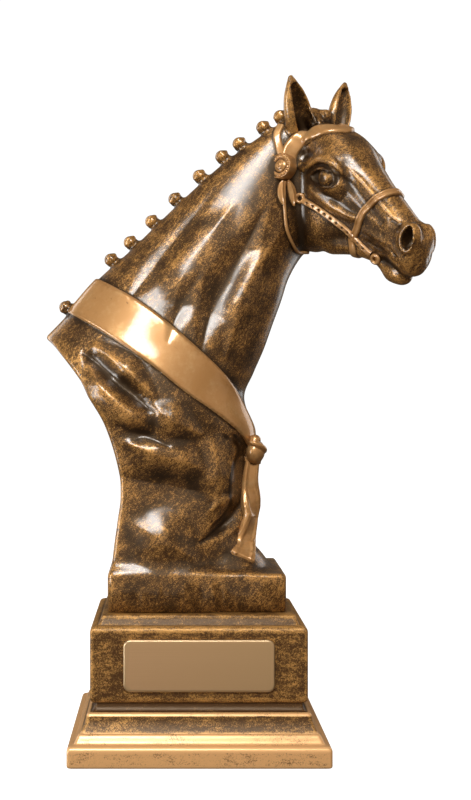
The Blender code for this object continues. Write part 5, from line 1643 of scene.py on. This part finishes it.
def floor_card():
    """Pale card that glows, so that it meets the room without a line."""
    n = Nodes("floor_card")
    paper = n.noise(900, 2.0, 0.5)
    n.set(Base_Color=n.mix(paper, (0.48, 0.48, 0.48), (0.52, 0.52, 0.52)), Roughness=0.6)
    n.set(Emission_Color=(1.0, 1.0, 1.0), Emission_Strength=FLOOR_GLOW)
    return n.material


def make_bust(material):
    clay = carve_bust(CELL)
    bust = mesh_of("horse_bust_cast", clay, BUST_TRIANGLES, SEAT_Z)
    bust.data.materials.append(material)
    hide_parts("horse_bust")
    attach(bust, "root")
    make_rosettes(material, clay)
    make_bridle(material, clay)
    return clay


def make_bow(material, bust_clay):
    bow = mesh_of("sash_bow", carve_bow(ORNAMENT_CELL, bust_clay), ORNAMENT_TRIANGLES)
    bow.data.materials.append(material)
    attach(bow, "root")


WHITE = (1.0, 1.0, 1.0)
WARM = (1.0, 0.76, 0.52)


def area_light(name, place, aim, size, power, colour=WHITE):
    light = bpy.data.lights.new(name, "AREA")
    light.shape = "RECTANGLE"
    light.color = colour
    light.size, light.size_y = size
    light.energy = power
    thing = bpy.data.objects.new(name, light)
    bpy.context.scene.collection.objects.link(thing)
    thing.location = place
    towards = np.asarray(aim, float) - place
    thing.rotation_euler = (
        math.pi / 2 + math.atan2(towards[2], math.hypot(towards[0], towards[1])),
        0.0,
        math.atan2(towards[1], towards[0]) - math.pi / 2,
    )


def studio():
    """Pale floor, soft lights, and a room that is white to the camera and warm to the trophy."""
    bpy.ops.mesh.primitive_circle_add(vertices=96, radius=6.0, fill_type="NGON", location=(0, 0, 0))
    floor = bpy.context.object
    floor.name = "floor"
    floor.data.materials.append(floor_card())
    floor.visible_glossy = False
    floor.visible_diffuse = False
    middle = (0.0, 0.0, 0.12)
    area_light("key_front", (-0.18, -0.87, 0.78), middle, (0.42, 0.34), 10.5)
    area_light("key_left", (-0.88, -0.47, 0.06), middle, (0.28, 0.60), 7.0)
    area_light("fill_front", (0.0, -1.40, 0.20), middle, (1.60, 1.10), 3.2, WARM)
    area_light("fill_right", (0.90, -0.50, 0.45), middle, (0.60, 0.90), 1.0, WARM)
    area_light("rim_left", (-0.80, 0.55, 0.35), middle, (0.40, 0.90), 3.0)
    area_light("rim_right", (0.80, 0.60, 0.40), middle, (0.40, 0.90), 2.2)
    area_light("top", (0.0, -0.10, 1.10), middle, (0.60, 0.60), 0.9, WARM)
    scene = bpy.context.scene
    world = bpy.data.worlds.new("white_room")
    scene.world = world
    world.use_nodes = True
    tree = world.node_tree
    background = tree.nodes["Background"]
    background.inputs["Color"].default_value = (1.0, 0.80, 0.60, 1.0)
    background.inputs["Strength"].default_value = ROOM_LIGHT
    seen = tree.nodes.new("ShaderNodeBackground")
    seen.inputs["Strength"].default_value = FAR_FLOOR
    path = tree.nodes.new("ShaderNodeLightPath")
    mix = tree.nodes.new("ShaderNodeMixShader")
    seen.inputs["Color"].default_value = (1.0, 1.0, 1.0, 1.0)
    tree.links.new(path.outputs["Is Camera Ray"], mix.inputs[0])
    tree.links.new(background.outputs[0], mix.inputs[1])
    tree.links.new(seen.outputs[0], mix.inputs[2])
    tree.links.new(mix.outputs[0], tree.nodes["World Output"].inputs["Surface"])
    scene.view_settings.view_transform = "Standard"


# Camera: fitted to the photograph's 471 by 800 pixels, the lens shifted as far as its framing needs
CAMERA_PLACE = (-0.0096, -0.390, 0.1164)
FRAME_WIDTH, FRAME_HEIGHT = 471, 800
FOCAL_PIXELS = 1137
CENTRE_PIXEL = (169, 398)


def make_camera():
    camera = bpy.data.objects.new("camera", bpy.data.cameras.new("camera"))
    bpy.context.scene.collection.objects.link(camera)
    bpy.context.scene.camera = camera
    camera.location = CAMERA_PLACE
    camera.rotation_euler = (math.pi / 2, 0, 0)
    camera.data.sensor_width = 36.0
    camera.data.lens = FOCAL_PIXELS * camera.data.sensor_width / FRAME_HEIGHT
    camera.data.shift_x = (FRAME_WIDTH / 2 - CENTRE_PIXEL[0]) / FRAME_HEIGHT
    camera.data.shift_y = -(FRAME_HEIGHT / 2 - CENTRE_PIXEL[1]) / FRAME_HEIGHT


finish = cast_finish()
clay = make_bust(finish)
make_bow(finish, clay)
make_plinth(plinth_paint())
make_plate(plate_metal())
studio()
make_camera()
